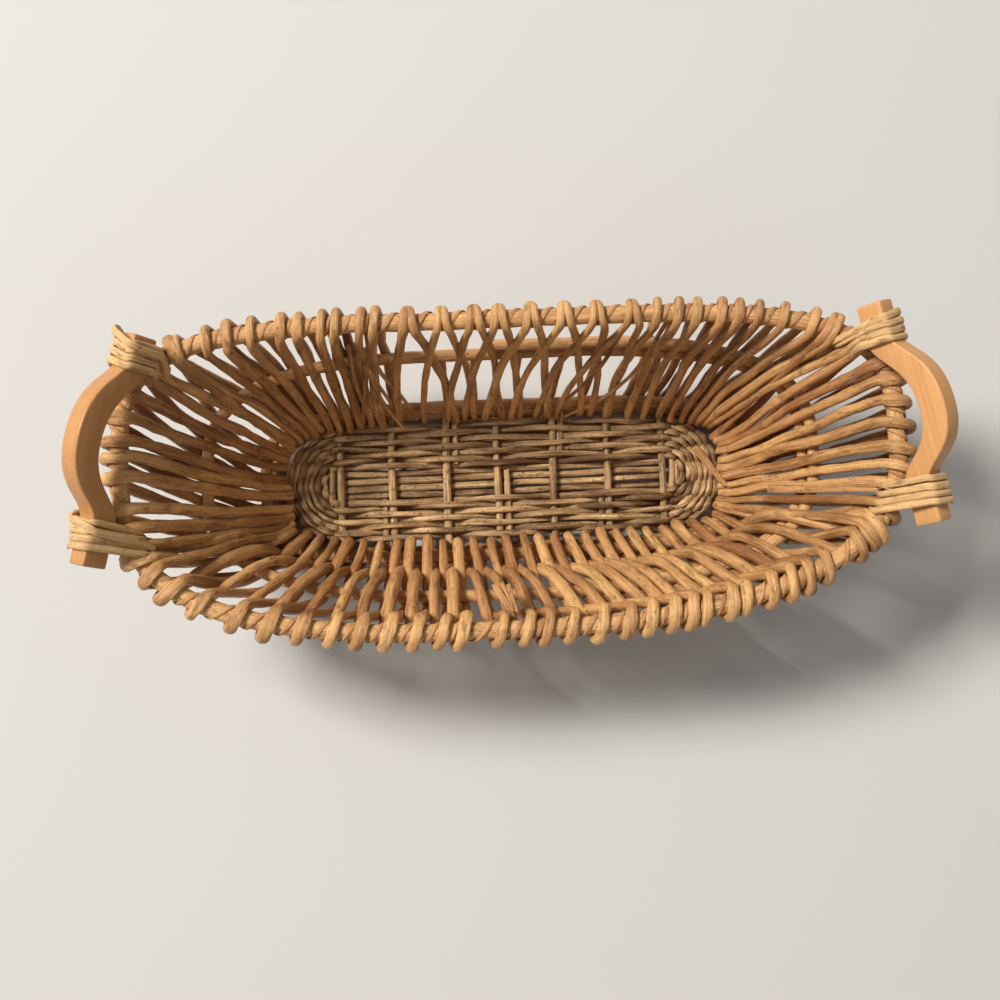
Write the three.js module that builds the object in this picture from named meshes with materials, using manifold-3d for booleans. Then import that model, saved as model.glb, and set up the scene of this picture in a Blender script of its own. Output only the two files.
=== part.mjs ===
// Boat-shaped willow basket: a woven oval base, two base hoops that clamp its sticks, a middle hoop,
// a stout rim hoop, wall rods looped over the rim, and two bow handles lashed on with cane.
// Millimetres, +Z up, +X along the length, the origin under the middle at floor level.
import * as THREE from "three";
import { mergeVertices } from "three/addons/utils/BufferGeometryUtils.js";
import Module from "manifold-3d";

const wasm = await Module();
wasm.setup();

// Fit
const CLEARANCE = 0.4; // between pieces that rest on each other

// Rods and canes
const RIM_DIAMETER = 11.6;
const HOOP_DIAMETER = 10;
const WALL_ROD_DIAMETER = 6.6;
const CROSS_STICK_DIAMETER = 6;
const LONG_STICK_DIAMETER = 5;
const WEAVER_DIAMETER = 4.6;
const CANE_WIDTH = 4.2;
const CANE_THICKNESS = 2;

// Base
const CROSS_STICKS = 7;
const CROSS_STICK_PITCH = 39.3;
const CROSS_STICK_REACH = 2; // past the middle of the lower base hoop
const LONG_STICKS = 4;
const LONG_STICK_REACH = 4; // past the outermost cross sticks
const WEAVER_RINGS = 6;
const WEAVER_SIDES = 5;
const WEAVER_END_STEPS = 7;

// The base hoops, from the edge of the base weave to the middle of the hoop
const BASE_HOOP_SIDE_ROOM = 9.4;
const BASE_HOOP_END_ROOM = 3.8;
const LOWER_HOOP_SQUARE = 4.5;
const UPPER_HOOP_SQUARE = 4.2;
const UPPER_HOOP_STEP = 4.5; // how far the upper base hoop stands outside the lower one

// Outline of each higher hoop: half length, half width to the far and near sides, and how square
// each quarter is, from the far right quarter over the far left, near left and near right ones
const MIDDLE_HOOP = { halfLength: 206, far: 84, near: 83, square: [3.3, 3.3, 2.8, 2.5] };
const RIM_HOOP = { halfLength: 250, far: 100, near: 102.5, square: [3.6, 3.6, 2.9, 2.4] };
const MIDDLE_HOOP_HEIGHT = 79;
const RIM_HEIGHT = 134; // at the middle of the long sides
const RIM_SHEER = 12; // how much higher the rim stands at its two ends
const FLOOR_FLAT = 0.5; // depth of the flat worn under the lowest hoop
const HOOP_STEPS = 48;
const RIM_STEPS = 72;
const HOOP_SIDES = 8;
const QUARTERS = 4; // of a hoop, over which places on it are counted
const OUTLINE_SAMPLES = 120;
const OUTWARD_STEP = 0.01; // in quarters, to each side of where an outline's direction is taken
const MERGE_TOLERANCE = 1e-3;

// Wall rods
// Loops of each side over the rim, between the handle lashings, how much further apart they stand in
// its middle, at the rim and at their feet, and how they crowd along it towards its end
const LOOPS = {
  far: { count: 27, open: 0.22, footOpen: 0.42, crowd: 0 },
  left: { count: 6, open: 0, footOpen: 0, crowd: 0 },
  near: { count: 30, open: 0, footOpen: 0, crowd: 0.23 },
  right: { count: 6, open: 0, footOpen: 0, crowd: 0 },
};
const LOOPS_PER_ROD = 3; // one long rod is bent over the rim this many times
const LOOP_ROOM = { side: 14, end: 13 }; // rim left bare beside a lashing, past it and under the bow
const LOOP_LEAN = 6; // how far a loop runs along the rim as it crosses it
const FAN = 0.15; // how much closer the feet of the rods crowd towards the two ends
const FOOT_LEAN = 0.01; // how far the inner and the outer legs lean apart, in quarters of the wall
const INNER_FOOT_ROOM = 2.3; // between the base weave and the inner legs
const OUTER_FOOT_ROOM = 1.1; // between the floor and the outer legs
const WALL_SLOPE = THREE.MathUtils.degToRad(35); // of the end walls, from upright
const FOOT_ROOM = 0.5; // more room for the inner feet, for the corners of the upper base hoop
const FOOT_SLOPE = THREE.MathUtils.degToRad(20); // of the outer legs between the two base hoops
const ROD_SIDES = 5;
const LOOP_STEP = THREE.MathUtils.degToRad(45);

// Handles
const HANDLE_WIDTH = 18.5;
const HANDLE_THICKNESS = 13.5;
const HANDLE_HALF_LENGTH = 73.5;
const HANDLE_BULGE = 22;
const HANDLE_TILT = THREE.MathUtils.degToRad(36); // of the bow, outwards from upright
const HANDLE_OVERHANG = 2.5; // of the handle's middle past the end of the rim
const HANDLE_SHIFT = 21; // of the handle's middle towards the far side
const HANDLE_GAP = 1.1; // between the rim's end and the lower edge of the handle's straight ends
const HANDLE_TURN = THREE.MathUtils.degToRad(9.8); // its far end lies closer to the middle
const HANDLE_FLAT_ROOM = 0.9; // straight stretch left between a lashing and the bow
const HANDLE_SOFT_BEND = 0.6; // shares of the bend over which the curves leave their ends
const HANDLE_STEEP_BEND = 0.75;
const HANDLE_CURVE_SEGMENTS = 8;

// Lashings
const LASHING_END = 17; // from an end of the handle to the middle of its lashing
const LASHING_TURNS = 4;
const LASHING_GAP = 0.8; // between turns, along the handle
const LASHING_STEPS = 20; // per turn
const LASHING_SLACK = 1.5; // between the cane and what it binds
const RIM_SEARCH_STEPS = 30;

const rimRadius = RIM_DIAMETER / 2;
const hoopRadius = HOOP_DIAMETER / 2;
const rodRadius = WALL_ROD_DIAMETER / 2;
const lowerHoopHeight = hoopRadius - FLOOR_FLAT;
const crossStickHeight = lowerHoopHeight + hoopRadius + CLEARANCE + CROSS_STICK_DIAMETER / 2;
const upperHoopHeight = crossStickHeight + CROSS_STICK_DIAMETER / 2 + CLEARANCE + hoopRadius;
const longStickHeight =
  crossStickHeight - (CROSS_STICK_DIAMETER + LONG_STICK_DIAMETER) / 2 - CLEARANCE;
const longStickPitch = LONG_STICK_DIAMETER + CLEARANCE;

const weaverPitch = WEAVER_DIAMETER + CLEARANCE;
const weaverWave = (CROSS_STICK_DIAMETER + WEAVER_DIAMETER) / 2 + CLEARANCE;
const firstWeaver = (LONG_STICKS * longStickPitch + weaverPitch) / 2;
const lastCrossStick = ((CROSS_STICKS - 1) / 2) * CROSS_STICK_PITCH;
const weaveStraight = lastCrossStick + CROSS_STICK_DIAMETER;
const weaveHalfWidth = firstWeaver + (WEAVER_RINGS - 1) * weaverPitch + WEAVER_DIAMETER / 2;
const weaveTop = crossStickHeight + weaverWave + WEAVER_DIAMETER / 2;

const lashingPitch = CANE_WIDTH + LASHING_GAP;
const lashingWidth = LASHING_TURNS * lashingPitch + CANE_WIDTH;
const lashingOffset = HANDLE_HALF_LENGTH - LASHING_END;
const handleFlatEnd = LASHING_END + lashingWidth / 2 + HANDLE_FLAT_ROOM;
const handleDrop =
  (HANDLE_WIDTH * Math.cos(HANDLE_TILT) + HANDLE_THICKNESS * Math.sin(HANDLE_TILT)) / 2;
const handleHeight = RIM_HEIGHT + RIM_SHEER + rimRadius + HANDLE_GAP + handleDrop;

const innerFootHeight = weaveTop + INNER_FOOT_ROOM + rodRadius;
const outerFootHeight = OUTER_FOOT_ROOM + rodRadius;
const lashingHalf = (lashingWidth + WALL_ROD_DIAMETER) / 2;

function baseHoop(step, square, height) {
  const halfWidth = weaveHalfWidth + BASE_HOOP_SIDE_ROOM + step;
  const halfLength = weaveStraight + weaveHalfWidth + BASE_HOOP_END_ROOM + step;
  return { halfLength, far: halfWidth, near: halfWidth, square: Array(QUARTERS).fill(square), height, sheer: 0 };
}

const levels = {
  lower: baseHoop(0, LOWER_HOOP_SQUARE, lowerHoopHeight),
  upper: baseHoop(UPPER_HOOP_STEP, UPPER_HOOP_SQUARE, upperHoopHeight),
  middle: { ...MIDDLE_HOOP, height: MIDDLE_HOOP_HEIGHT, sheer: 0 },
  rim: { ...RIM_HOOP, height: RIM_HEIGHT, sheer: RIM_SHEER },
};

const finishes = {
  wallRod: { color: 0xb98a52, roughness: 0.55 },
  rim: { color: 0xc08d57, roughness: 0.5 },
  base: { color: 0x9c7c50, roughness: 0.65 },
  handle: { color: 0xd9a86c, roughness: 0.45 },
  cane: { color: 0xcfa06a, roughness: 0.5 },
};

const basket = new THREE.Group();

function addPiece(name, geometry, finish) {
  const material = new THREE.MeshStandardMaterial({ ...finishes[finish], metalness: 0 });
  const mesh = new THREE.Mesh(geometry, material);
  mesh.name = name;
  basket.add(mesh);
  return mesh;
}

// A rod's centre line: one ring of the rod at each given point, square to the bend there.
class RodPath extends THREE.Curve {
  constructor(points) {
    super();
    this.points = points;
  }

  getUtoTmapping(u) {
    return u;
  }

  getPoint(t, target = new THREE.Vector3()) {
    const last = this.points.length - 1;
    const along = THREE.MathUtils.clamp(t, 0, 1) * last;
    const i = Math.min(Math.floor(along), last - 1);
    return target.lerpVectors(this.points[i], this.points[i + 1], along - i);
  }

  getTangent(t, target = new THREE.Vector3()) {
    const last = this.points.length - 1;
    const i = Math.round(t * last);
    const arriving = new THREE.Vector3();
    const leaving = new THREE.Vector3();
    if (i > 0) arriving.subVectors(this.points[i], this.points[i - 1]).normalize();
    if (i < last) leaving.subVectors(this.points[i + 1], this.points[i]).normalize();
    return target.addVectors(arriving, leaving).normalize();
  }
}

function roundSection(diameter, sides) {
  const corners = [];
  for (let i = 0; i < sides; i++) {
    const angle = (2 * Math.PI * i) / sides;
    corners.push(new THREE.Vector2(Math.cos(angle), Math.sin(angle)).multiplyScalar(diameter / 2));
  }
  return new THREE.Shape(corners);
}

function sweep(path, section) {
  return new THREE.ExtrudeGeometry(section, {
    extrudePath: path,
    steps: path.points.length - 1,
    bevelEnabled: false,
  });
}

function rodAlong(points, section) {
  return sweep(new RodPath(points), section);
}

function closedRod(points, diameter, sides) {
  const loop = new THREE.CatmullRomCurve3(points, true);
  loop.getUtoTmapping = (u) => u;
  return new THREE.TubeGeometry(loop, points.length, diameter / 2, sides, true);
}

function solidOf(geometry) {
  const bare = geometry.clone();
  bare.deleteAttribute("normal");
  bare.deleteAttribute("uv");
  const merged = mergeVertices(bare, MERGE_TOLERANCE);
  return new wasm.Manifold(
    new wasm.Mesh({
      numProp: 3,
      vertProperties: merged.attributes.position.array,
      triVerts: new Uint32Array(merged.index.array),
    }),
  );
}

function geometryOf(solid) {
  const mesh = solid.getMesh();
  return new THREE.BufferGeometry()
    .setAttribute("position", new THREE.BufferAttribute(mesh.vertProperties, 3))
    .setIndex(new THREE.BufferAttribute(mesh.triVerts, 1));
}

function cutAtFloor(geometry) {
  geometry.computeBoundingBox();
  const size = geometry.boundingBox.getSize(new THREE.Vector3());
  const floor = new THREE.BoxGeometry(2 * size.x, 2 * size.y, size.z);
  floor.translate(0, 0, -size.z / 2);
  return geometryOf(solidOf(geometry).subtract(solidOf(floor)));
}

// Outlines: a place on a hoop is given in quarters from the right end, over the far side (1),
// the left end (2) and the near side (3), and evenly along the rod within each quarter
function quarterPoint(level, quarter, angle) {
  const power = 2 / level.square[quarter];
  const right = quarter === 0 || quarter === 3 ? 1 : -1;
  const x = right * level.halfLength * Math.cos(angle) ** power;
  const y = (quarter < 2 ? level.far : -level.near) * Math.sin(angle) ** power;
  const z = level.height + level.sheer * (x / level.halfLength) ** 2;
  return new THREE.Vector3(x, y, z);
}

for (const level of Object.values(levels)) {
  level.quarters = [0, 1, 2, 3].map((quarter) => {
    const points = [];
    for (let i = 0; i <= OUTLINE_SAMPLES; i++) {
      const end = quarter % 2 === 0 ? i : OUTLINE_SAMPLES - i;
      points.push(quarterPoint(level, quarter, (Math.PI / 2) * (end / OUTLINE_SAMPLES)));
    }
    const reach = [0];
    for (let i = 1; i < points.length; i++) {
      reach.push(reach[i - 1] + points[i].distanceTo(points[i - 1]));
    }
    return { points, reach, length: reach[OUTLINE_SAMPLES] };
  });
}

function placeOn(level, place) {
  const wrapped = ((place % QUARTERS) + QUARTERS) % QUARTERS;
  const { points, reach, length } = level.quarters[Math.floor(wrapped)];
  const wanted = (wrapped % 1) * length;
  let i = 1;
  while (reach[i] < wanted) i++;
  const share = (wanted - reach[i - 1]) / (reach[i] - reach[i - 1]);
  return points[i - 1].clone().lerp(points[i], share);
}

function outwardAt(level, place) {
  const along = placeOn(level, place + OUTWARD_STEP).sub(placeOn(level, place - OUTWARD_STEP));
  return new THREE.Vector3(along.y, -along.x, 0).normalize();
}

// Millimetres along a hoop from the right end, and back to its place in quarters
function reachOf(level, place) {
  const whole = Math.floor(place);
  let sum = 0;
  for (let i = 0; i < whole; i++) sum += level.quarters[i % QUARTERS].length;
  return sum + (place - whole) * level.quarters[whole % QUARTERS].length;
}

function placeAtReach(level, reach) {
  let quarter = 0;
  let left = reach;
  while (left > level.quarters[quarter % QUARTERS].length) {
    left -= level.quarters[quarter % QUARTERS].length;
    quarter++;
  }
  return quarter + left / level.quarters[quarter % QUARTERS].length;
}

// Hoops
function hoopGeometry(level, diameter, steps) {
  const points = [];
  for (let i = 0; i < steps; i++) points.push(placeOn(level, (QUARTERS * i) / steps));
  return closedRod(points, diameter, HOOP_SIDES);
}

addPiece("rim_hoop", hoopGeometry(levels.rim, RIM_DIAMETER, RIM_STEPS), "rim");
addPiece("middle_hoop", hoopGeometry(levels.middle, HOOP_DIAMETER, HOOP_STEPS), "rim");
addPiece("upper_base_hoop", hoopGeometry(levels.upper, HOOP_DIAMETER, HOOP_STEPS), "rim");
addPiece("lower_base_hoop", cutAtFloor(hoopGeometry(levels.lower, HOOP_DIAMETER, HOOP_STEPS)), "rim");

// Base: long sticks lie under the cross sticks, and weaver rings run over and under these in turn
const crossStickPlaces = [];
for (let i = 0; i < CROSS_STICKS; i++) crossStickPlaces.push(i * CROSS_STICK_PITCH - lastCrossStick);
const crossStickHalf = levels.lower.far + CROSS_STICK_REACH;
const longStickHalf = lastCrossStick + LONG_STICK_REACH;

function straightStick(start, end, diameter) {
  return rodAlong([start, end], roundSection(diameter, HOOP_SIDES));
}

crossStickPlaces.forEach((x, i) => {
  const start = new THREE.Vector3(x, -crossStickHalf, crossStickHeight);
  const end = new THREE.Vector3(x, crossStickHalf, crossStickHeight);
  addPiece(`base_cross_stick_${i + 1}`, straightStick(start, end, CROSS_STICK_DIAMETER), "base");
});

for (let i = 0; i < LONG_STICKS; i++) {
  const y = (i - (LONG_STICKS - 1) / 2) * longStickPitch;
  const start = new THREE.Vector3(-longStickHalf, y, longStickHeight);
  const end = new THREE.Vector3(longStickHalf, y, longStickHeight);
  addPiece(`base_long_stick_${i + 1}`, straightStick(start, end, LONG_STICK_DIAMETER), "base");
}

function weaverRing(row) {
  const halfWidth = firstWeaver + row * weaverPitch;
  const points = [];
  for (const side of [1, -1]) {
    const places = side > 0 ? [...crossStickPlaces].reverse() : crossStickPlaces;
    places.forEach((x, i) => {
      const over = (row + i + (side > 0 ? 0 : CROSS_STICKS)) % 2 === 0 ? 1 : -1;
      const height = crossStickHeight + over * weaverWave;
      for (const beside of [1, -1]) {
        const offset = (side * beside * CROSS_STICK_DIAMETER) / 2;
        points.push(new THREE.Vector3(x + offset, side * halfWidth, height));
      }
    });
    for (let i = 1; i < WEAVER_END_STEPS; i++) {
      const angle = Math.PI / 2 + (Math.PI * i) / WEAVER_END_STEPS;
      const x = side * (halfWidth * Math.cos(angle) - weaveStraight);
      points.push(new THREE.Vector3(x, side * halfWidth * Math.sin(angle), crossStickHeight));
    }
  }
  return closedRod(points, WEAVER_DIAMETER, WEAVER_SIDES);
}

for (let row = 0; row < WEAVER_RINGS; row++) {
  addPiece(`base_weaver_${row + 1}`, weaverRing(row), "base");
}

// Handles: a bow sawn from board, in a plane that leans outwards over the rim
function handleFrame(side) {
  const along = new THREE.Vector3(
    -side * Math.sin(HANDLE_TURN),
    Math.cos(HANDLE_TURN),
    0,
  );
  const out = new THREE.Vector3(side * along.y, -side * along.x, 0);
  const up = out.clone().multiplyScalar(Math.sin(HANDLE_TILT));
  up.z = Math.cos(HANDLE_TILT);
  const reach = RIM_HOOP.halfLength + HANDLE_OVERHANG;
  const middle = new THREE.Vector3(side * reach, HANDLE_SHIFT, handleHeight);
  return { along, out, up, through: new THREE.Vector3().crossVectors(along, up), middle };
}

function handleOutline() {
  const half = HANDLE_WIDTH / 2;
  const bend = HANDLE_HALF_LENGTH - handleFlatEnd;
  const soft = HANDLE_SOFT_BEND * bend;
  const steep = HANDLE_STEEP_BEND * bend;
  const outline = new THREE.Shape();
  outline.moveTo(-HANDLE_HALF_LENGTH, -half);
  outline.lineTo(-bend, -half);
  outline.bezierCurveTo(-soft, -half, -steep, HANDLE_BULGE - half, 0, HANDLE_BULGE - half);
  outline.bezierCurveTo(steep, HANDLE_BULGE - half, soft, -half, bend, -half);
  outline.lineTo(HANDLE_HALF_LENGTH, -half);
  outline.lineTo(HANDLE_HALF_LENGTH, half);
  outline.lineTo(bend, half);
  outline.bezierCurveTo(steep, half, steep, HANDLE_BULGE + half, 0, HANDLE_BULGE + half);
  outline.bezierCurveTo(-steep, HANDLE_BULGE + half, -steep, half, -bend, half);
  outline.lineTo(-HANDLE_HALF_LENGTH, half);
  outline.closePath();
  return outline;
}

for (const [name, side] of [["handle_left", -1], ["handle_right", 1]]) {
  const frame = handleFrame(side);
  const board = new THREE.ExtrudeGeometry(handleOutline(), {
    depth: HANDLE_THICKNESS,
    bevelEnabled: false,
    curveSegments: HANDLE_CURVE_SEGMENTS,
  });
  board.translate(0, 0, -HANDLE_THICKNESS / 2);
  const place = new THREE.Matrix4().makeBasis(frame.along, frame.up, frame.through);
  board.applyMatrix4(place.setPosition(frame.middle));
  addPiece(name, board, "handle");
}

// Lashings: flat cane wound round the handle's end and the rim together
function rimBeside(frame, offset) {
  const target = frame.along.dot(frame.middle) + offset;
  const end = frame.middle.x > 0 ? 0 : 2;
  const beyond = (place) => frame.along.dot(placeOn(levels.rim, place)) > target;
  let [low, high] = [end - 1, end + 1];
  const farFirst = beyond(low);
  for (let i = 0; i < RIM_SEARCH_STEPS; i++) {
    const between = (low + high) / 2;
    if (beyond(between) === farFirst) low = between;
    else high = between;
  }
  return { place: low, point: placeOn(levels.rim, low) };
}

const caneHalf = CANE_THICKNESS / 2;
const caneReach = (caneHalf + LASHING_SLACK) / Math.cos((2 * Math.PI) / LASHING_STEPS);

// Where a step of a turn lies, seen along the handle: outside the handle's end or the rim beside it
function turnReach(frame, advance, step) {
  const angle = (2 * Math.PI * step) / LASHING_STEPS;
  const direction = new THREE.Vector2(Math.cos(angle), Math.sin(angle));
  const corners = [];
  for (const width of [-HANDLE_WIDTH / 2, HANDLE_WIDTH / 2]) {
    for (const depth of [-HANDLE_THICKNESS / 2, HANDLE_THICKNESS / 2]) {
      const x = width * Math.sin(HANDLE_TILT) - depth * Math.cos(HANDLE_TILT);
      const y = width * Math.cos(HANDLE_TILT) + depth * Math.sin(HANDLE_TILT);
      corners.push(new THREE.Vector2(x, y));
    }
  }
  // The rim crosses a turn at a slant, so the turn meets it as an ellipse
  const rim = rimBeside(frame, advance);
  const slant = Math.abs(outwardAt(levels.rim, rim.place).dot(frame.out));
  const sideways = Math.sqrt(1 - slant ** 2) * (CANE_WIDTH / 2);
  const rimWidth = (rimRadius + sideways) / slant;
  const towards = Math.hypot(rimWidth * direction.x, rimRadius * direction.y);
  const across = rim.point.sub(frame.middle);
  const onRim = new THREE.Vector2(rimWidth ** 2 * direction.x, rimRadius ** 2 * direction.y);
  onRim.divideScalar(towards).add(new THREE.Vector2(across.dot(frame.out), across.z));
  const reach = [...corners, onRim].reduce((a, b) => (b.dot(direction) > a.dot(direction) ? b : a));
  return reach.addScaledVector(direction, caneReach);
}

function turnLength(frame, advance) {
  let length = 0;
  for (let i = 0; i < LASHING_STEPS; i++) {
    length += turnReach(frame, advance, i).distanceTo(turnReach(frame, advance, i + 1));
  }
  return length;
}

// The cane climbs along the handle by the length that it has run
function lashingPoints(frame, place) {
  const points = [];
  let advance = place - (LASHING_TURNS * lashingPitch) / 2;
  for (let i = 0; i <= LASHING_TURNS * LASHING_STEPS; i++) {
    const reach = turnReach(frame, advance, i);
    const point = frame.middle.clone().addScaledVector(frame.along, advance);
    point.addScaledVector(frame.out, reach.x);
    point.z += reach.y;
    points.push(point);
    const run = reach.distanceTo(turnReach(frame, advance, i + 1));
    advance += (lashingPitch * run) / turnLength(frame, advance);
  }
  return points;
}

// A cane's path keeps its flat side on what it binds, with its width along the handle
class CanePath extends RodPath {
  constructor(points, along, side) {
    super(points);
    this.along = along;
    this.side = side;
  }

  computeFrenetFrames(segments) {
    const frames = { tangents: [], normals: [], binormals: [] };
    for (let i = 0; i <= segments; i++) {
      const tangent = this.getTangent(i / segments);
      const normal = new THREE.Vector3().crossVectors(this.along, tangent).normalize();
      normal.multiplyScalar(this.side);
      frames.tangents.push(tangent);
      frames.normals.push(normal);
      frames.binormals.push(new THREE.Vector3().crossVectors(tangent, normal));
    }
    return frames;
  }
}

function leastGap(points) {
  let least = Infinity;
  const apart = LASHING_STEPS / 2;
  for (let i = 0; i < points.length; i++) {
    for (let j = i + apart; j < points.length; j++) {
      least = Math.min(least, points[i].distanceTo(points[j]) - CANE_WIDTH);
    }
  }
  return least;
}

function caneSection() {
  const halfWidth = CANE_WIDTH / 2;
  return new THREE.Shape([
    new THREE.Vector2(-caneHalf, -halfWidth),
    new THREE.Vector2(caneHalf, -halfWidth),
    new THREE.Vector2(caneHalf, halfWidth),
    new THREE.Vector2(-caneHalf, halfWidth),
  ]);
}

const lashings = [
  ["lashing_right_far", 1, lashingOffset],
  ["lashing_left_far", -1, lashingOffset],
  ["lashing_left_near", -1, -lashingOffset],
  ["lashing_right_near", 1, -lashingOffset],
];
const lashingPlaces = lashings.map(([name, side, place]) => {
  const frame = handleFrame(side);
  const points = lashingPoints(frame, place);
  console.log(`${name}: least gap between turns ${leastGap(points).toFixed(2)} mm`);
  addPiece(name, sweep(new CanePath(points, frame.along, side), caneSection()), "cane");
  return (rimBeside(frame, place).place + QUARTERS) % QUARTERS;
});

// Wall rods: inner legs lie inside the hoops, outer legs outside, and each loop joins one of each
const hoopToRod = hoopRadius + rodRadius + CLEARANCE;
const legOffset = hoopToRod / Math.cos(WALL_SLOPE);
const outerFootOffset = hoopToRod / Math.cos(FOOT_SLOPE);
const innerFootRise = innerFootHeight - upperHoopHeight;
const innerFootOffset = Math.sqrt((hoopToRod + FOOT_ROOM) ** 2 - innerFootRise ** 2);
const loopRadius = (rimRadius + rodRadius + CLEARANCE) / Math.cos(LOOP_STEP / 2);

function footPlace(place, lean) {
  const quarter = Math.floor(place);
  const fromEnd = quarter % 2 === 0;
  const along = fromEnd ? 1 - (place - quarter) : place - quarter;
  const fanned = along * (1 + FAN - FAN * along);
  return quarter + (fromEnd ? 1 - fanned : fanned) + lean;
}

function legPoint(level, place, offset, height) {
  const point = placeOn(level, place).addScaledVector(outwardAt(level, place), offset);
  if (height !== undefined) point.z = height;
  return point;
}

function middlePlace(place, foot) {
  return (place + foot) / 2;
}

function loopPoints(place, foot) {
  const innerFoot = footPlace(foot, FOOT_LEAN);
  const outerPlace = placeAtReach(levels.rim, reachOf(levels.rim, place) - LOOP_LEAN);
  const outerFoot = footPlace(foot, -FOOT_LEAN);
  const points = [
    legPoint(levels.upper, innerFoot, -innerFootOffset, innerFootHeight),
    legPoint(levels.middle, middlePlace(place, innerFoot), -legOffset),
  ];
  const steps = Math.round(Math.PI / LOOP_STEP);
  for (let i = 0; i <= steps; i++) {
    const angle = Math.PI - WALL_SLOPE - i * LOOP_STEP;
    const along = place + ((outerPlace - place) * i) / steps;
    const point = placeOn(levels.rim, along);
    point.addScaledVector(outwardAt(levels.rim, along), loopRadius * Math.cos(angle));
    point.z += loopRadius * Math.sin(angle);
    points.push(point);
  }
  points.push(
    legPoint(levels.middle, middlePlace(outerPlace, outerFoot), legOffset),
    legPoint(levels.upper, outerFoot, legOffset),
    legPoint(levels.lower, outerFoot, outerFootOffset, outerFootHeight),
  );
  return points;
}

function shareAlong(share, open, crowd) {
  return share - (open * Math.sin(2 * Math.PI * share)) / (2 * Math.PI) + crowd * share * (1 - share);
}

function wallRods(side, room, from, to) {
  const footStart = reachOf(levels.rim, from);
  const footEnd = reachOf(levels.rim, to);
  const start = footStart + lashingHalf + room + LOOP_LEAN;
  const end = footEnd - lashingHalf - room;
  const { count, open, footOpen, crowd } = LOOPS[side];
  for (let first = 0; first < count; first += LOOPS_PER_ROD) {
    const points = [];
    for (let i = first; i < Math.min(first + LOOPS_PER_ROD, count); i++) {
      const reach = start + (end - start) * shareAlong(i / (count - 1), open, crowd);
      const foot = footStart + (footEnd - footStart) * shareAlong((i + 0.5) / count, footOpen, 0);
      const loop = loopPoints(placeAtReach(levels.rim, reach), placeAtReach(levels.rim, foot));
      points.push(...((i - first) % 2 === 0 ? loop : loop.reverse()));
    }
    const name = `wall_rod_${side}_${first / LOOPS_PER_ROD + 1}`;
    addPiece(name, rodAlong(points, roundSection(WALL_ROD_DIAMETER, ROD_SIDES)), "wallRod");
  }
}

const [rightFar, leftFar, leftNear, rightNear] = lashingPlaces;
wallRods("far", LOOP_ROOM.side, rightFar, leftFar);
wallRods("left", LOOP_ROOM.end, leftFar, leftNear);
wallRods("near", LOOP_ROOM.side, leftNear, rightNear);
wallRods("right", LOOP_ROOM.end, rightNear, rightFar + QUARTERS);

// The origin is under the middle of the finished basket, on the floor
const box = new THREE.Box3().setFromObject(basket);
const centre = box.getCenter(new THREE.Vector3());
basket.children.forEach((mesh) => mesh.geometry.translate(-centre.x, -centre.y, -box.min.z));

export default basket;
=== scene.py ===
"""Boat-shaped willow basket with two bow handles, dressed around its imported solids.

Lengths in the making of the pieces are millimetres in the basket's own frame. Meshes are in metres.
"""

import math
from typing import NamedTuple

import bpy
import numpy as np
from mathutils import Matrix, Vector


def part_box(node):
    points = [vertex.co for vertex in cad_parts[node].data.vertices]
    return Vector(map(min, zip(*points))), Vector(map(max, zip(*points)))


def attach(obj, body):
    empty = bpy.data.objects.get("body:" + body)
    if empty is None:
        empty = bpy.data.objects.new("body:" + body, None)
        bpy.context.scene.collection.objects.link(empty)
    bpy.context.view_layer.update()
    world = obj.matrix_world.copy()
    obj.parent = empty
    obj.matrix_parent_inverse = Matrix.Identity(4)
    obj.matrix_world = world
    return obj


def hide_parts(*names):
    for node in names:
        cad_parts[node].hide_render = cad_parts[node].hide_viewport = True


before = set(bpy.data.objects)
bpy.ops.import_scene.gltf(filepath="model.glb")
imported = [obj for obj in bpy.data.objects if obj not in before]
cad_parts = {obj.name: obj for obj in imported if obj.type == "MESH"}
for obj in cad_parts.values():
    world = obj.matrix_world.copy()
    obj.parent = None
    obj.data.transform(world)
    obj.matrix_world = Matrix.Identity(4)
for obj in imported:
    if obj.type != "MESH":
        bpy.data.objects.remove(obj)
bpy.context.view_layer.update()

bl_info = {
    "name": "Boat-shaped basket",
    "version": (1, 0, 0),
    "blender": (4, 5, 0),
    "location": "View3D > Sidebar > Basket",
    "description": "Makes a willow basket with a woven base, looped wall rods and lashed bow handles",
    "category": "Add Mesh",
}

MM = 0.001
BODY = "root"
UP = np.array([0.0, 0.0, 1.0])
FULL_TURN = 6.28
KEPT_GAP = 4.0  # about the distance between the kept points of a path

# The hoops' centre lines: half length, half width to the far and near sides, how square each quarter is
# from the far right one over the far left, near left and near right ones, height, and rise at the ends
LOWER_HOOP = (168.3, 50.0, 50.0, (4.5, 4.5, 4.5, 4.5), 4.5, 0.0)
UPPER_HOOP = (172.8, 54.5, 54.5, (4.2, 4.2, 4.2, 4.2), 21.3, 0.0)
MIDDLE_HOOP = (206.0, 84.0, 83.0, (3.3, 3.3, 2.8, 2.5), 79.0, 0.0)
RIM_HOOP = (250.0, 98.4, 104.0, (4.0, 4.2, 2.85, 2.4), 134.0, 12.0)
RIM_OFF_CENTRE = -1.25  # from the basket's own middle to the solid rim's middle, towards the far side

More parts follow.
